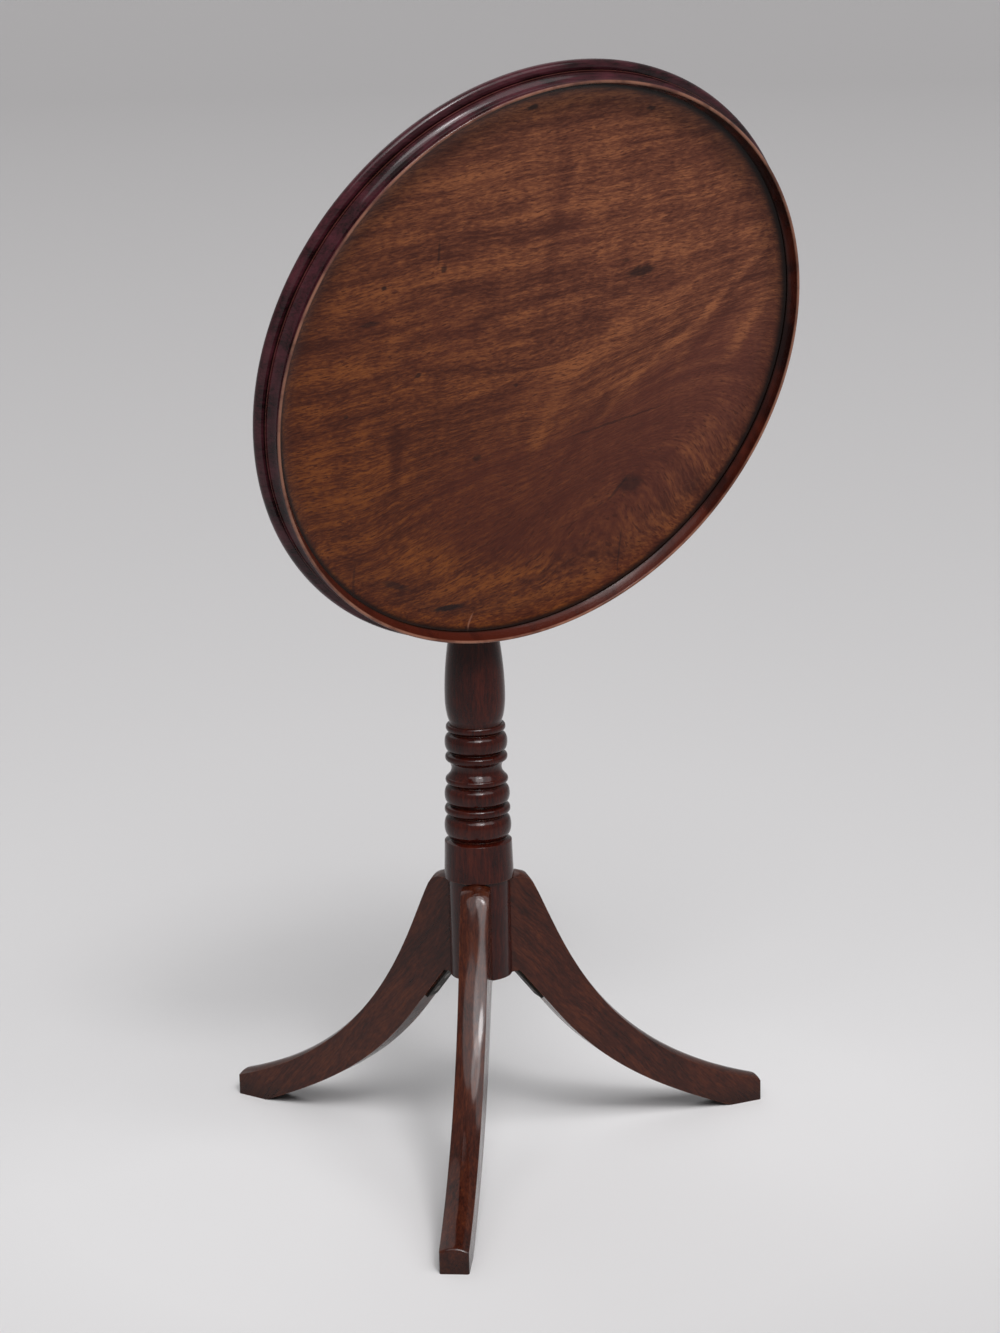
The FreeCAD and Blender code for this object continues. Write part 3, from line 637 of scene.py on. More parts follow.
def veiled_and_shaded_field(add, place, tint, mottle):
    """The field is painted lighter towards its upper right, as a veil of light, and painted shade with
    gathered wax darkens it towards the rim, most on that side too. The marks lie over both, and the wall
    inside the lip has its own tint, painted darker on that side."""
    wood = bpy.context.scene.table_wood
    top = bpy.context.scene.table_top
    aside = add("VectorMath", [place, upper_right_way], along_way)
    # A painted veil of light: the field is lighter and greyer towards the upper right
    light_veil_reach = top.diameter * 3 / 8
    light_veil = add("MapRange", [aside, -light_veil_reach, light_veil_reach, 0.0, 1.0], smoothly)
    tint = add("HueSaturation", {"Saturation": 0.90, "Value": 1.6, "Fac": light_veil, "Color": tint})
    flat = add("VectorMath", [place, (1, 1, 0)], times)
    radius = add("VectorMath", [flat], as_length)
    wall_foot = top.diameter / 2 - top.lip_setback - top.lip_thickness - top.wall_slope
    hollow_edge = wall_foot - top.inner_quirk
    half_hollow = top.hollow_width / 2
    rim_shade_start = hollow_edge - top.hollow_width - half_hollow
    # Painted shade, with gathered wax, darkens the field towards the rim, and the hollow at the wall's foot
    # is painted darker still; both are deepest towards the upper right
    frayed = add("Math", [mottle, rim_shade_fray, radius], times_plus)
    rim_shade = add("MapRange", [frayed, rim_shade_start, hollow_edge + half_hollow, 0.0, 0.5], smoothly)
    hemmed_in = add("MapRange", [radius, hollow_edge - half_hollow, hollow_edge, 0.0, 1.0], smoothly)
    shaded_side = add("MapRange", [aside, -top.diameter / 3, top.diameter / 3, 0.3, 0.8], smoothly)
    for mask, stain in ((rim_shade, wood.field_shade), (hemmed_in, wood.grime_and_shade)):
        tint = add("Mix", [add("Math", [mask, shaded_side], times), tint, stain], in_colour)
    tint = marked(add, place, tint)
    # The wall inside the lip is mottled, and painted darker towards the upper right, where it stands in
    # shade
    mottle_less_shade = add("MapRange", [mottle, 0.35, 0.65, 0.35, 1.0], smoothly)
    mottle_less_shade = add("Math", [mottle_less_shade, shaded_side], minus)
    wall_tint = stained(add, wood.wall_dark, (mottle_less_shade, -0.4, 0.35, 1.0, wood.wall_body))
    # Grime and painted shade in the corner at the wall's foot
    corner = (radius, hollow_edge - top.inner_quirk * 4, hollow_edge, 0.85, wood.grime_and_shade)
    wall = (radius, wall_foot, wall_foot + top.inner_quirk, 1.0, wall_tint)
    return stained(add, tint, corner, wall)


def lit_and_worn_lip(add, place, tint):
    """Lightens the lip's crest in patches: a painted highlight along it, and polish that hands have rubbed
    through in places.
    """
    top = bpy.context.scene.table_top
    height = add("SeparateXYZ", [place]).outputs["Z"]
    crest = top.rim_height - top.field_thickness
    rising = add("MapRange", [height, crest - top.lip_thickness / 2, crest, 0.0, 1.0], smoothly)
    patches = drawn_out(add, place, lip_weather)[0]
    patchy = add("MapRange", [patches, 0.35, 0.6, 0.35, 0.95], smoothly)
    glint_and_wear = add("Math", [rising, patchy], times)
    return add("Mix", [glint_and_wear, tint, bpy.context.scene.table_wood.lip_glint_and_wear], in_colour)


def figured_face():
    """Figured mahogany under old wax: the crotch's gold outlines and red heart, pores, knocks and ink."""
    wood = bpy.context.scene.table_wood
    material, add = new_material("figured_mahogany_old_wax")
    place = level_place(add, bpy.context.scene.table_top)
    flow, heart = figure_flow(add, place)
    broad, streak, fleck, pores = drawn_out(add, flow, field_figure)
    mottle, cloud, smear = drawn_out(add, place, field_weather)
    ragged = wandered(add, place, (60, 30), (14, 10))
    golden = zones(add, ragged, golden_zones)
    dark = zones(add, ragged, dark_zones)
    tone = weighed(add, ((broad, 0.50), (streak, 0.50), (fleck, 0.60), (mottle, 0.30)))
    for zone, pull in ((golden, 0.17), (dark, -0.16)):
        tone = add("Math", [zone, pull, tone], times_plus)
    stops = ((0.33, wood.field_dark), (0.50, wood.field_middle), (0.69, wood.field_gold))
    tint = add("ValToRGB", [tone], stops=stops)
    red = add("MapRange", [heart, 0.20, 0.75, 0.0, 0.95], smoothly)
    red = add("Math", [red, golden], minus)
    haze = add("MapRange", [cloud, 0.50, 0.72, 0.0, 0.5], smoothly)
    red = add("Math", [red, haze], larger)
    red = add("Math", [red, 0.6], times)
    pitted = add("MapRange", [pores, 0.58, 0.70, 0.0, 0.8], smoothly)
    for mask, stain in ((red, wood.field_red), (pitted, wood.field_dark)):
        tint = add("Mix", [mask, tint, stain], in_colour)
    # Painted veil of light, and painted shade towards the rim and on the wall
    tint = veiled_and_shaded_field(add, place, tint, mottle)
    # Painted highlight and wear along the lip's crest
    tint = lit_and_worn_lip(add, place, tint)
    # Grime and painted shade in the field's recesses
    tint = grimed_and_shaded(add, tint, wood.grime_and_shade, 5.0, 0.75, 0.8)[0]
    rough = add("MapRange", [smear, 0.3, 0.7, 0.24, 0.40], smoothly)
    height = add("Math", [fleck, pitted], minus)
    lay_surface(add, tint, rough, height, 0.10, field_gloss)
    return material


def waxed_rim():
    """The rim's mouldings outside: almost black wax, purple in the light, lighter on the lip's crest, where
    a highlight is painted and the polish is worn, and worn bare on the bead's edges.
    """
    wood = bpy.context.scene.table_wood
    material, add = new_material("turned_mahogany_rim_black_wax")
    place = level_place(add, bpy.context.scene.table_top)
    cloud, fibre = drawn_out(add, place, rim_figure)
    tone = weighed(add, ((cloud, 1.2), (fibre, 0.6)))
    tint = add("ValToRGB", [tone], stops=((0.30, wood.rim_dark), (0.72, wood.rim_body)))
    # Painted highlight and wear along the lip's crest
    tint = lit_and_worn_lip(add, place, tint)
    # Grime and painted shade in the rim's mouldings
    tint, openness = grimed_and_shaded(add, tint, wood.grime_and_shade, 5.0, 0.75, 0.9)
    tint = rubbed_edges(add, tint, openness, 1.2, 0.5)
    rough = add("MapRange", [cloud, 0.3, 0.7, 0.20, 0.36], smoothly)
    lay_surface(add, tint, rough, fibre, 0.06, rim_gloss)
    return material


def frame_mahogany(name, place_of, colours, shine):
    """Dark mahogany with straight grain under glossy wax, with grime and painted shade in its recesses,
    darker near the floor, rubbed on its edges."""
    wood = bpy.context.scene.table_wood
    material, add = new_material(name)
    place = place_of(add)
    flow = wandered(add, place, (120, 16), (30, 3))
    broad, streak, fleck, pores = drawn_out(add, flow, frame_figure)
    blotch, scuffs, smear = drawn_out(add, place, frame_weather)
    tone = weighed(add, ((broad, 0.40), (streak, 0.50), (fleck, 0.50), (blotch, 0.40)))
    tint = add("ValToRGB", [tone], stops=list(zip((0.28, 0.50, 0.78), colours)))
    pitted = add("MapRange", [pores, 0.62, 0.74, 0.0, 0.35], smoothly)
    spot = add("TexCoord").outputs["Object"]
    above_floor = add("SeparateXYZ", [spot]).outputs["Z"]
    tint = stained(add, tint, (blotch, 0.54, 0.72, 0.35, colours[0]))
    tint = add("Mix", [pitted, tint, wood.grime_and_shade], in_colour)
    # Darker near the floor, below 24 mm
    tint = stained(add, tint, (above_floor, 24.0 * millimetre, 4.0 * millimetre, 0.55, wood.grime_and_shade))
    # Grime and painted shade in the grooves and recesses
    tint, openness = grimed_and_shaded(add, tint, wood.grime_and_shade, 6.0, 0.88, 0.85)
    scuffed = add("MapRange", [scuffs, 0.42, 0.60, 0.1, 0.8], smoothly)
    tint = rubbed_edges(add, tint, openness, 1.0, scuffed)
    rough = add("MapRange", [smear, 0.3, 0.7, 0.20, 0.36], smoothly)
    height = add("Math", [fleck, pitted], minus)
    lay_surface(add, tint, rough, height, 0.07, shine)
    return material


def raw_mahogany(name, place_of):
    """Planed mahogany that never had polish, dull and darkened by age."""
    wood = bpy.context.scene.table_wood
    material, add = new_material(name)
    place = place_of(add)
    broad, fibre = drawn_out(add, wandered(add, place, (100, 18)), raw_figure)
    age = drawn_out(add, place, raw_weather)[0]
    tone = weighed(add, ((broad, 1.0), (fibre, 0.8)))
    tint = add("ValToRGB", [tone], stops=((0.28, wood.raw_dark), (0.74, wood.raw_body)))
    tint = stained(add, tint, (age, 0.48, 0.70, 0.6, wood.raw_dark))
    # Grime and painted shade in the recesses
    tint, openness = grimed_and_shaded(add, tint, wood.grime_and_shade, 12.0, 0.75, 0.6)
    tint = rubbed_edges(add, tint, openness, 1.0, 0.5)
    rough = add("MapRange", [age, 0.3, 0.7, 0.55, 0.75], smoothly)
    lay_surface(add, tint, rough, fibre, 0.25, raw_gloss)
    return material


def along_grain(grain_turn):
    """A way to read a piece's place with X turned to run along its grain."""

    def place_of(add):
        place = add("TexCoord").outputs["Object"]
        return add("Mapping", {"Vector": place, "Rotation": grain_turn.to_euler()}, as_texture)

    return place_of


def leg_grain(add):
    """A leg's own place, kept in its mesh before the leg was turned to its angle."""
    return add("Attribute", settings={"attribute_name": "grain"}).outputs["Vector"]


def worked_metal(name, body, dark, roughness_range):
    """Metal with a hand-worked face: tint and sheen vary with wear and handling."""
    material, add = new_material(name)
    place = add("TexCoord").outputs["Object"]
    cloud, speck = drawn_out(add, place, metal_weather)
    tint = stained(add, linear(body), (cloud, 0.38, 0.72, 0.6, linear(dark)))
    # Grime and painted shade, in the metal's dark tint, in its recesses
    tint = grimed_and_shaded(add, tint, linear(dark), 4.0, 0.75, 0.8)[0]
    rough = add("MapRange", [speck, 0.3, 0.7, *roughness_range], smoothly)
    lay_surface(add, tint, rough, speck, 0.1, {"Metallic": 1.0})
    return material


def dress(names, material):
    """Gives CAD pieces a finish."""
    for name in names:
        node = frame["nodes"][name]
        node.data.materials.clear()
        node.data.materials.append(material)


# Parts of each round stretch of an outline
top_arc_parts = 12
column_arc_parts = 10
leg_curve_parts = 96


def top_outline(top):
    """The level top's half section, as in its drawing."""
    radius = top.diameter / 2
    bead_ring = radius - top.bead_radius
    bead_top = top.bead_radius * 2
    quirk_floor = bead_ring - top.quirk_depth
    fillet_bottom = bead_top + top.quirk_width
    fillet_top = fillet_bottom + top.fillet_width
    fillet_radius = quirk_floor + top.fillet_step
    lip_outside = radius - top.lip_setback
    lip_round = top.lip_thickness / 2
    lip_spring = top.rim_height - lip_round
    lip_inside = lip_outside - top.lip_thickness
    cove_middle = (fillet_top + lip_spring) / 2
    wall_foot = lip_inside - top.wall_slope
    wall_bottom = lip_spring - top.wall_height
    wall_middle = ((lip_inside + wall_foot) / 2 + top.wall_hollow, (lip_spring + wall_bottom) / 2)
    hollow_top = wall_bottom - top.inner_quirk
    hollow_rise = hollow_top - top.field_thickness
    hollow_radius = (top.hollow_width ** 2 + hollow_rise ** 2) / (hollow_rise * 2)
    hollow_turn = math.asin(top.hollow_width / hollow_radius) / 2
    hollow_edge = wall_foot - top.inner_quirk
    field_radius = hollow_edge - top.hollow_width
    hollow_middle = (
        field_radius + hollow_radius * math.sin(hollow_turn),
        top.field_thickness + hollow_radius * (1 - math.cos(hollow_turn)),
    )
    steps = [
        [(bead_ring, 0)],
        [(radius, top.bead_radius), (bead_ring, bead_top)],
        [(quirk_floor, bead_top)],
        [(quirk_floor, fillet_bottom)],
        [(fillet_radius, fillet_bottom)],
        [(fillet_radius, fillet_top)],
        [(lip_outside, fillet_top)],
        [(lip_outside - top.cove_depth, cove_middle), (lip_outside, lip_spring)],
        [(lip_outside - lip_round, top.rim_height), (lip_inside, lip_spring)],
        [wall_middle, (wall_foot, wall_bottom)],
        [(wall_foot + top.inner_quirk, hollow_top)],
        [(hollow_edge, hollow_top)],
        [hollow_middle, (field_radius, top.field_thickness)],
        [(0, top.field_thickness)],
    ]
    outline = points_along((0, 0), steps, top_arc_parts)
    return [(reach, height + top.underside) for reach, height in outline]


class TABLE_OT_top(bpy.types.Operator):
    """Turns the dished top, tips it up and gives it its polish"""

    bl_idname = "table.top"
    bl_label = "Turn the top"

    def execute(self, context):
        top = context.scene.table_top
        piece = turned_piece("dished_top", top_outline(top), top.sides)
        soften(piece, top.arris, 40)
        underside = raw_mahogany("raw_mahogany_underside", along_grain(tip_turn))
        for material in (figured_face(), waxed_rim(), underside):
            piece.data.materials.append(material)
        rim_number, underside_number = 1, 2
        wall_foot = top.diameter / 2 - top.lip_setback - top.lip_thickness - top.wall_slope
        for face in piece.data.polygons:
            reach = math.hypot(face.center.x, face.center.y)
            outward = face.normal.x * face.center.x + face.normal.y * face.center.y
            if face.center.z < top.underside + top.arris / 2:
                face.material_index = underside_number
            elif reach > wall_foot and outward > -top.arris * reach:
                face.material_index = rim_number
        settle(piece, Matrix.Translation(pins) @ tip_turn.to_4x4() @ Matrix.Translation(-pins))
        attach(piece, "top")
        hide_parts("top_board")
        return {"FINISHED"}


# Heights above the collar's foot as shares of the stack, radii as shares of the collar's
collar_top_shares = (0.235, 0.965)
ring_shares = (
    (0.273, 0.391, 0.871, 0.959),
    (0.415, 0.463, 0.880, 0.943),
    (0.484, 0.584, 0.852, 0.935),
    (0.609, 0.647, 0.846, 0.897),
    (0.750, 0.792, 0.840, 0.892),
    (0.816, 0.916, 0.820, 0.898),
    (0.941, 0.982, 0.805, 0.852),
)
ring_shoulder_share = 0.12
scotia_after_ring = 3
scotia_shares = ((0.658, 0.809), (0.701, 0.720), (0.746, 0.803))
bulb_foot_share = 0.752
bulb_share = 0.863
bulb_handle_shares = (0.167, 0.5)
bulb_shoulder_share = 0.333
rest_slope_share = 0.6
shaft_shares = (0.115, 0.30, 0.50)
neck_share = 0.77
neck_ring_shares = (0.775, 0.80)
cap_shares = (0.825, 0.90, 0.955)
cap_waist_share = 0.333


def column_outline(column):
    """The column's half section, as in its drawing."""
    foot = column.drum_bottom + column.drum_height

    def stack_place(height_share, radius_share):
        return (column.collar_radius * radius_share, foot + column.stack_height * height_share)

    here = stack_place(*collar_top_shares)
    steps = [
        [(column.drum_radius, column.drum_bottom)],
        [(column.drum_radius, foot)],
        [(column.collar_radius, foot)],
        [here],
    ]
    for number, (low, high, edge, crown) in enumerate(ring_shares):
        start = stack_place(low, edge)
        end = stack_place(high, edge)
        if number != scotia_after_ring + 1:
            steps.append([(min(here[0], start[0]) - column.groove_depth, (here[1] + start[1]) / 2)])
        # A Bezier curve's crown lies at three quarters of its handles' reach
        swell = edge + (crown - edge) * 4 / 3
        shoulder = (high - low) * ring_shoulder_share
        steps.append([start])
        steps.append([stack_place(low + shoulder, swell), stack_place(high - shoulder, swell), end])
        here = end
        if number == scotia_after_ring:
            scotia = [stack_place(*shares) for shares in scotia_shares]
            steps += [[scotia[0]], [scotia[1], scotia[2]]]
            here = scotia[2]
    bulb_foot = column.collar_radius * bulb_foot_share
    bulb = column.collar_radius * bulb_share
    bulb_bottom = foot + column.stack_height
    bulb_middle = bulb_bottom + column.bulb_height
    low_handle, high_handle = (bulb_bottom + column.bulb_height * share for share in bulb_handle_shares)
    rest = (column.rest_radius, column.rest_height)
    rest_handle = (rest[1] - bulb_middle) * bulb_shoulder_share
    drop = (bulb - rest[0]) * rest_slope_share
    neck = column.neck_radius
    ring_middle = sum(neck_ring_shares) / 2
    waist = neck + (column.cap_radius - neck) * cap_waist_share

    def shaft_place(height_share, radius):
        return (radius, rest[1] + (column.block_bottom - rest[1]) * height_share)

    steps += [
        [(bulb_foot, here[1])],
        [(bulb_foot, bulb_bottom)],
        [((bulb_foot + bulb) / 2, low_handle), (bulb, high_handle), (bulb, bulb_middle)],
        [(bulb, bulb_middle + rest_handle), (rest[0] + drop, rest[1] - rest_handle), rest],
        [
            shaft_place(shaft_shares[0], rest[0] - drop),
            shaft_place(shaft_shares[1], column.shaft_radius),
            shaft_place(shaft_shares[2], column.shaft_radius),
        ],
        [shaft_place(neck_share, neck)],
        [shaft_place(neck_ring_shares[0], neck)],
        [shaft_place(ring_middle, column.neck_ring_radius), shaft_place(neck_ring_shares[1], neck)],
        [shaft_place(cap_shares[0], neck)],
        [shaft_place(cap_shares[1], waist), shaft_place(cap_shares[2], column.cap_radius)],
        [(column.cap_radius, column.block_bottom)],
        [(column.tenon_radius, column.block_bottom)],
        [(column.tenon_radius, column.tenon_top)],
        [(0, column.tenon_top)],
    ]
    return points_along((0, column.drum_bottom), steps, column_arc_parts)


def cut_kerf(piece, column):
    """Saws the kerf for the wedge into the tenon's end."""
    select_nothing()
    bpy.ops.mesh.primitive_cube_add(size=1.0, location=(0, 0, column.tenon_top))
    saw = bpy.context.object
    saw.scale = (column.wedge_width, column.tenon_radius * 3, column.wedge_depth * 2)
    bpy.ops.object.transform_apply(location=False, rotation=False, scale=True)
    apply_modifier(piece, "BOOLEAN", {"object": saw, "operation": "DIFFERENCE", "solver": "EXACT"})
    bpy.data.objects.remove(saw)


class TABLE_OT_column(bpy.types.Operator):
    """Turns the column with its rings, bulb and tenon"""

    bl_idname = "table.column"
    bl_label = "Turn the column"

    def execute(self, context):
        column = context.scene.table_column
        piece = turned_piece("turned_column", column_outline(column), column.sides)
        soften(piece, column.arris, 30)
        cut_kerf(piece, column)
        wood = context.scene.table_wood
        colours = (wood.column_dark, wood.column_body, wood.column_red)
        grain = along_grain(upright_turn)
        piece.data.materials.append(frame_mahogany("turned_mahogany_waxed", grain, colours, column_gloss))
        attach(piece, "stand")
        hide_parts("column")
        return {"FINISHED"}


leg_grain_slope = math.radians(48)

# Parts along a leg's root, its curve and its toe, round its toe's end and across its crown
root_parts = 2
leg_parts = 44
toe_parts = 5
toe_end_parts = 4
crown_parts = 10


def moved(place, slope, length):
    """A place moved out and down a slope."""
    return (place[0] + math.cos(slope) * length, place[1] - math.sin(slope) * length)


def leg_lines(leg):
    """The leg's upper line and its underside, as stretches that end at a corner, with their parts."""
    top = leg.top - leg.crown_trim
    tangent = leg.shoulder_radius * math.tan(leg.slope / 2)
    arc_start = (leg.shoulder_reach - tangent, top)
    arc_middle = (
        arc_start[0] + leg.shoulder_radius * math.sin(leg.slope / 2),
        top - leg.shoulder_radius * (1 - math.cos(leg.slope / 2)),
    )
    arc_end = moved((leg.shoulder_reach, top), leg.slope, tangent)
    toe = (leg.reach, leg.toe_height - leg.crown_trim)
    curve = [moved(arc_end, leg.slope, leg.upper_handle), moved(toe, leg.toe_slope, -leg.toe_handle), toe]
    upper = points_along(arc_start, [[arc_middle, arc_end], curve], leg_curve_parts)
    drum_bottom = bpy.context.scene.table_column.drum_bottom
    bend = (leg.underside_start, drum_bottom)
    straight_end = moved(bend, leg.underside_slope, leg.underside_straight)
    heel = (leg.reach - leg.pad_length, 0)
    swell = [
        moved(straight_end, leg.underside_slope, leg.underside_handle),
        moved(heel, leg.heel_slope, -leg.heel_handle),
        heel,
    ]
    lower = points_along(bend, [[straight_end], swell], leg_curve_parts)
    over_heel = heel[0] + leg.toe_height * math.sin(leg.heel_slope)
    split = next(n for n, point in enumerate(upper) if point[0] > over_heel)
    near_toe = leg.reach - leg.toe_round
    end_line = [point for point in upper[split:] if point[0] < near_toe]
    end_line.append(moved(toe, leg.toe_slope, -leg.toe_round / math.cos(leg.toe_slope)))
    return (
        ([(leg.root_reach, top), arc_start], [(leg.root_reach, drum_bottom), bend], root_parts),
        (upper[: split + 1], lower, leg_parts),
        (end_line, [heel, (near_toe, 0)], toe_parts),
    )


def spread_evenly(points, parts):
    """Places at even lengths along a line of points, with both its ends."""
    lengths = [0.0]
    for a, b in zip(points, points[1:]):
        lengths.append(lengths[-1] + math.dist(a, b))
    places = [points[0]]
    after = 1
    for part in range(1, parts):
        want = lengths[-1] * part / parts
        while lengths[after] < want:
            after += 1
        share = (want - lengths[after - 1]) / (lengths[after] - lengths[after - 1])
        a, b = points[after - 1], points[after]
        places.append((a[0] + (b[0] - a[0]) * share, a[1] + (b[1] - a[1]) * share))
    places.append(points[-1])
    return places


def leg_stations(leg):
    """Pairs of places on the leg's two lines with the section's inset there, from root to toe."""
    stations = []
    for upper, lower, parts in leg_lines(leg):
        pairs = list(zip(spread_evenly(upper, parts), spread_evenly(lower, parts)))
        stations += [(*pair, 0) for pair in pairs[bool(stations) :]]
    last = stations[-1][0]
    for part in range(1, toe_end_parts + 1):
        angle = math.pi / 2 * part / toe_end_parts
        out = leg.toe_round * math.sin(angle)
        inset = leg.toe_round * (1 - math.cos(angle))
        upper = moved(last, leg.toe_slope, out / math.cos(leg.toe_slope))
        stations.append((upper, (upper[0], 0), inset))
    return stations


def section_places(leg, station):
    """The leg's section at a station: the underside's corners and the crown between them."""
    upper, lower, inset = station
    depth = math.dist(upper, lower)
    down = Vector((lower[0] - upper[0], 0, lower[1] - upper[1])) / depth
    half = leg.width / 2 - inset
    places = [Vector((lower[0], half, lower[1]))]
    for part in range(crown_parts + 1):
        side = half - 2 * half * part / crown_parts
        sag = leg.crown_radius - math.sqrt(leg.crown_radius ** 2 - side ** 2)
        places.append(Vector((upper[0], side, upper[1])) + down * (sag + inset))
    places.append(Vector((lower[0], -half, lower[1])))
    return places


def leg_blank(leg):
    """One leg along +X: its section is drawn, filled and extruded from station to station."""
    sections = [section_places(leg, station) for station in leg_stations(leg)]
    first = sections[0]
    piece = start_piece("leg")
    bpy.ops.transform.translate(value=first[0])
    draw_on([b - a for a, b in zip(first, first[1:])])
    bpy.ops.mesh.select_all(action="SELECT")
    bpy.ops.mesh.edge_face_add()
    for before, after in zip(sections, sections[1:]):
        bpy.ops.mesh.extrude_region_move(TRANSFORM_OT_translate={"value": after[0] - before[0]})
    bpy.ops.object.mode_set(mode="OBJECT")
    corners = piece.data.vertices
    order = []
    for number in range(len(first)):
        here = corners[number].co - corners[0].co + first[0]
        order.append(min(range(len(first)), key=lambda seat: (first[seat] - here).length))
    for number, corner in enumerate(corners):
        section, place = divmod(number, len(first))
        corner.co = sections[section][order[place]]
    bpy.ops.object.mode_set(mode="EDIT")
    bpy.ops.mesh.select_all(action="SELECT")
    bpy.ops.mesh.normals_make_consistent(inside=False)
    bpy.ops.object.mode_set(mode="OBJECT")
    return piece


def keep_grain(piece):
    """Keeps each corner's place in the mesh, with X turned down the leg along its grain."""
    turned = Matrix.Rotation(-leg_grain_slope, 3, "Y")
    attribute = piece.data.attributes.new("grain", "FLOAT_VECTOR", "POINT")
    for corner, kept in zip(piece.data.vertices, attribute.data):
        kept.vector = turned @ corner.co


class TABLE_OT_legs(bpy.types.Operator):
    """Shapes one sabre leg and sets three copies round the column"""

    bl_idname = "table.legs"
    bl_label = "Shape the legs"

    def execute(self, context):
        leg = context.scene.table_leg
        wood = context.scene.table_wood
        colours = (wood.leg_dark, wood.leg_body, wood.leg_red)
        material = frame_mahogany("sabre_leg_mahogany_waxed", leg_grain, colours, leg_gloss)
        blank = leg_blank(leg)
        soften(blank, leg.arris, 35)
        keep_grain(blank)
        blank.data.materials.append(material)
        for number, node in enumerate(("leg_right", "leg_back", "leg_front")):
            piece = blank.copy()
            piece.data = blank.data.copy()
            piece.name = "sabre_" + node
            context.scene.collection.objects.link(piece)
            angle = leg.first_angle + math.tau / 3 * number
            settle(piece, Matrix.Rotation(angle, 4, "Z"))
            for kept in piece.data.attributes["grain"].data:
                kept.vector = kept.vector + Vector((0, leg.width * 3 * number, 0))
            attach(piece, "stand")
            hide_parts(node)
        bpy.data.objects.remove(blank)
        return {"FINISHED"}


class TABLE_OT_block(bpy.types.Operator):
    """Finishes the pivot block, its pins and wedge, and the bearers"""

    bl_idname = "table.block"
    bl_label = "Finish block and bearers"

    def execute(self, context):
        across = along_grain(Matrix.Identity(3))
        down_top = along_grain(tip_turn @ Matrix.Rotation(math.pi / 2, 3, "Z"))
        dress(("pivot_block",), raw_mahogany("planed_mahogany_block", across))
        dress(("tenon_wedge",), raw_mahogany("split_mahogany_wedge", along_grain(upright_turn)))
        dress(("bearer_left", "bearer_right"), raw_mahogany("planed_mahogany_bearers", down_top))
        wood = context.scene.table_wood
        colours = (wood.leg_dark, wood.leg_body, wood.leg_red)
        pins_wood = frame_mahogany("rubbed_mahogany_pins", across, colours, pin_gloss)
        dress(("pivot_pin_left", "pivot_pin_right"), pins_wood)
        return {"FINISHED"}


class TABLE_OT_fittings(bpy.types.Operator):
    """Finishes the brass catch and keeper, the iron plate and the screws"""

    bl_idname = "table.fittings"
    bl_label = "Finish the fittings"

    def execute(self, context):
        brass = worked_metal("cast_brass_aged", "a88448", "4a3a22", (0.32, 0.5))
        iron = worked_metal("forged_iron_blackened", "3a3734", "1b1817", (0.5, 0.75))
        steel = worked_metal("filed_steel_dulled", "6d6863", "38332f", (0.35, 0.55))
        dress(("catch_case", "catch_bolt", "catch_knob", "keeper_plate"), brass)
        dress(("catch_screws", "keeper_screws"), brass)
        dress(("base_plate",), iron)
        dress(("base_plate_screws", "bearer_screws", "catch_spring"), steel)
        return {"FINISHED"}


def studio_floor(stage):
    """Pale matt floor, painted darker with distance from the table as a falloff of light."""
    material, add = new_material("matt_studio_floor")
    place = add("TexCoord").outputs["Object"]
    distance = add("VectorMath", [place], as_length)
    octaves = add("Math", [distance, 2.0], {"operation": "LOGARITHM"})
    far = add("MapRange", [octaves, -1.3, 4.2, 0.0, 1.0])
    # Painted falloff of light: paler round the table, darker far off
    shade = add("Mix", [far, stage.floor_grey, stage.floor_far], in_colour)
    grit = drawn_out(add, place, floor_weather)[0]
    lay_surface(add, shade, 0.9, grit, 0.1, {"Specular IOR Level": 0.1}, strength=0.2)
    return material


def studio_air(stage):
    """Even light from all round, with a pale backdrop for the camera and for reflections."""
    world = bpy.data.worlds.new("studio_air")
    world.use_nodes = True
    world.node_tree.nodes.clear()
    add = partial(add_node, world.node_tree)
    rays = add("LightPath").outputs
    seen = 0.0
    for kind in ("Is Camera Ray", "Is Glossy Ray", "Is Transmission Ray"):
        seen = add("Math", [seen, rays[kind]], larger)
    light = add("Background", [stage.sky_colour, stage.sky])
    backdrop = add("Background", [stage.floor_far, 1.0])
    air = add("MixShader", [seen, light, backdrop])
    add("OutputWorld", [air])
    return world


# The studio's soft lamps: bearing, elevation and spread in degrees, strength
soft_lamps = (
    (221, 50, 36, 0.20),
    (249, 43, 28, 0.33),
    (257, 46, 10, 0.18),
    (254, 60, 22, 0.20),
    (289, 50, 36, 0.20),
    (78, 50, 60, 0.15),
)
lamp_distance = 4.0
lamp_tint = (1.0, 0.985, 0.995)


def hang_lamp(name, bearing, elevation, spread, strength):
    """A soft lamp turned to the table's middle, seen from there at a bearing and elevation."""
    lamp = bpy.data.lights.new(name, "SUN")
    lamp.angle = math.radians(spread)
    lamp.energy = strength * math.pi
    lamp.color = lamp_tint
    holder = bpy.data.objects.new(name, lamp)
    bpy.context.scene.collection.objects.link(holder)
    a, e = math.radians(bearing), math.radians(elevation)
    aim = Vector((math.cos(a) * math.cos(e), math.sin(a) * math.cos(e), math.sin(e)))
    place = (cad_bounds[0] + cad_bounds[1]) / 2 + lamp_distance * aim
    holder.matrix_world = Matrix.Translation(place) @ (-aim).to_track_quat("-Z", "Y").to_matrix().to_4x4()


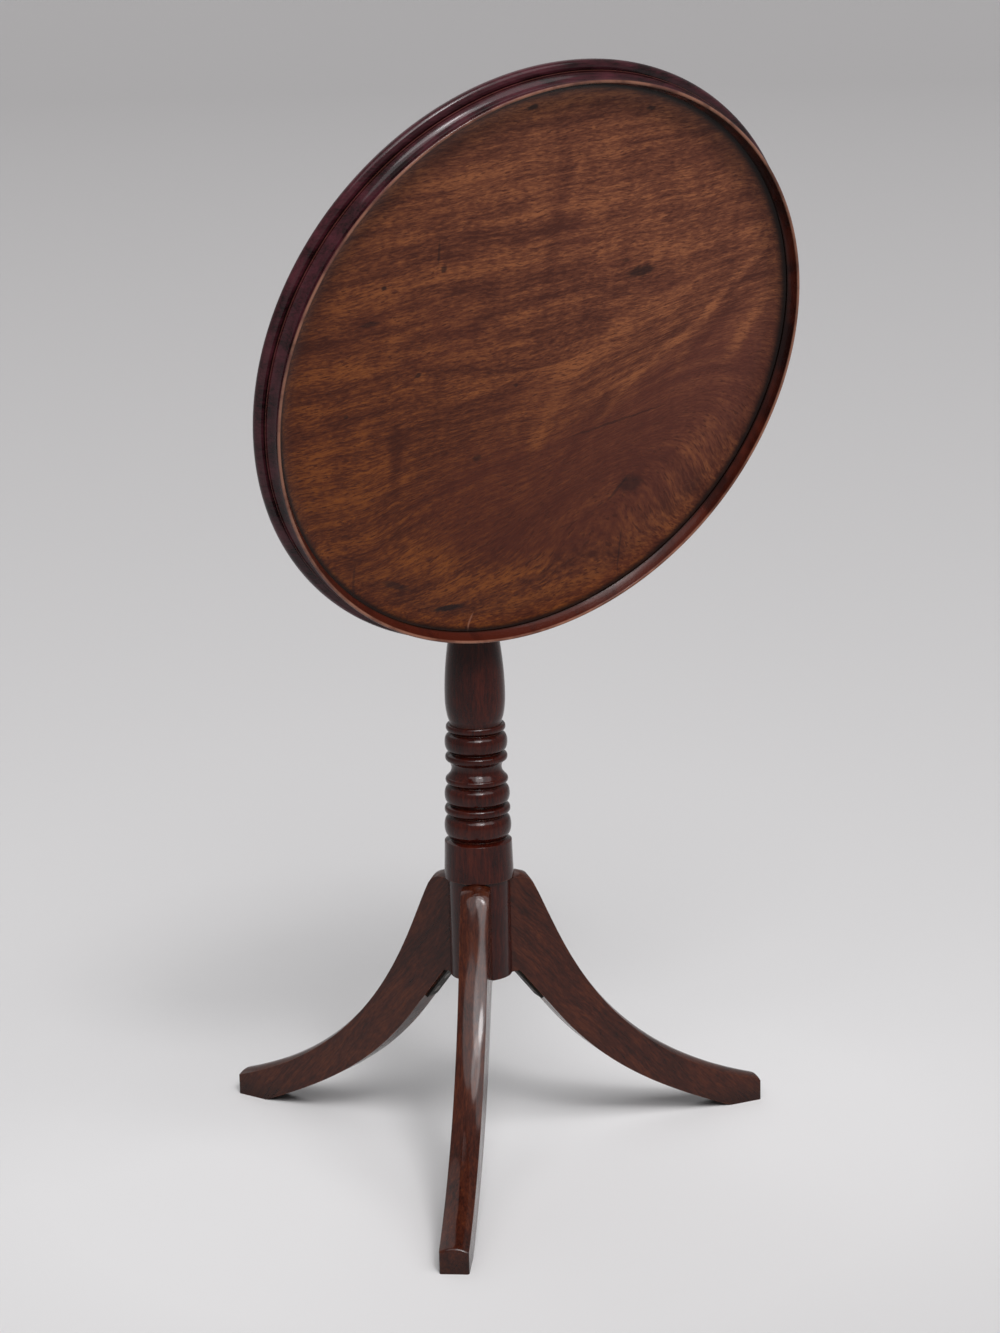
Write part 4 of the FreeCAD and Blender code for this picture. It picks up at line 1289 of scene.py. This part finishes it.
class TABLE_OT_stage(bpy.types.Operator):
    """Lays the floor and sets up the camera and the soft studio light"""

    bl_idname = "table.stage"
    bl_label = "Set the stage"

    def execute(self, context):
        stage = context.scene.table_stage
        select_nothing()
        bpy.ops.mesh.primitive_plane_add(size=stage.floor_reach * 2, location=(0, 0, 0))
        floor = context.object
        floor.name = "studio_floor"
        floor.data.materials.append(studio_floor(stage))

        camera = bpy.data.cameras.new("camera")
        camera.sensor_width = 36.0
        camera.lens = stage.lens
        holder = bpy.data.objects.new("camera", camera)
        context.scene.collection.objects.link(holder)
        context.scene.camera = holder
        place = Matrix.Rotation(stage.bearing, 4, "Z") @ Vector((0, -stage.distance, stage.height))
        heading = Matrix.Rotation(stage.bearing + stage.yaw, 4, "Z")
        tilt = Matrix.Rotation(math.pi / 2 - stage.pitch, 4, "X")
        roll = Matrix.Rotation(stage.roll, 4, "Z")
        holder.matrix_world = Matrix.Translation(place) @ heading @ tilt @ roll

        for number, lamp in enumerate(soft_lamps):
            hang_lamp("soft_lamp_" + str(number), *lamp)
        context.scene.world = studio_air(stage)
        context.scene.view_settings.view_transform = "Standard"
        return {"FINISHED"}


class TABLE_PT_panel(bpy.types.Panel):
    """Lists the steps that dress the table"""

    bl_label = "Tripod table"
    bl_idname = "TABLE_PT_panel"
    bl_space_type = "VIEW_3D"
    bl_region_type = "UI"
    bl_category = "Table"

    def draw(self, context):
        for step in table_steps:
            self.layout.operator("table." + step)


table_steps = ("top", "column", "legs", "block", "fittings", "stage")
size_groups = {
    "table_top": TopSizes,
    "table_column": ColumnSizes,
    "table_leg": LegSizes,
    "table_wood": WoodColours,
    "table_stage": StageSizes,
}
tools = (
    TABLE_OT_top,
    TABLE_OT_column,
    TABLE_OT_legs,
    TABLE_OT_block,
    TABLE_OT_fittings,
    TABLE_OT_stage,
    TABLE_PT_panel,
)


def register():
    """Registers the sizes, the operators and the panel."""
    for name, group in size_groups.items():
        bpy.utils.register_class(group)
        setattr(bpy.types.Scene, name, PointerProperty(type=group))
    for tool in tools:
        bpy.utils.register_class(tool)


def unregister():
    """Takes the panel, the operators and the sizes out again."""
    for tool in reversed(tools):
        bpy.utils.unregister_class(tool)
    for name, group in size_groups.items():
        delattr(bpy.types.Scene, name)
        bpy.utils.unregister_class(group)


def main():
    """Runs every step in order."""
    register()
    for step in table_steps:
        getattr(bpy.ops.table, step)()


if __name__ == "__main__":
    main()
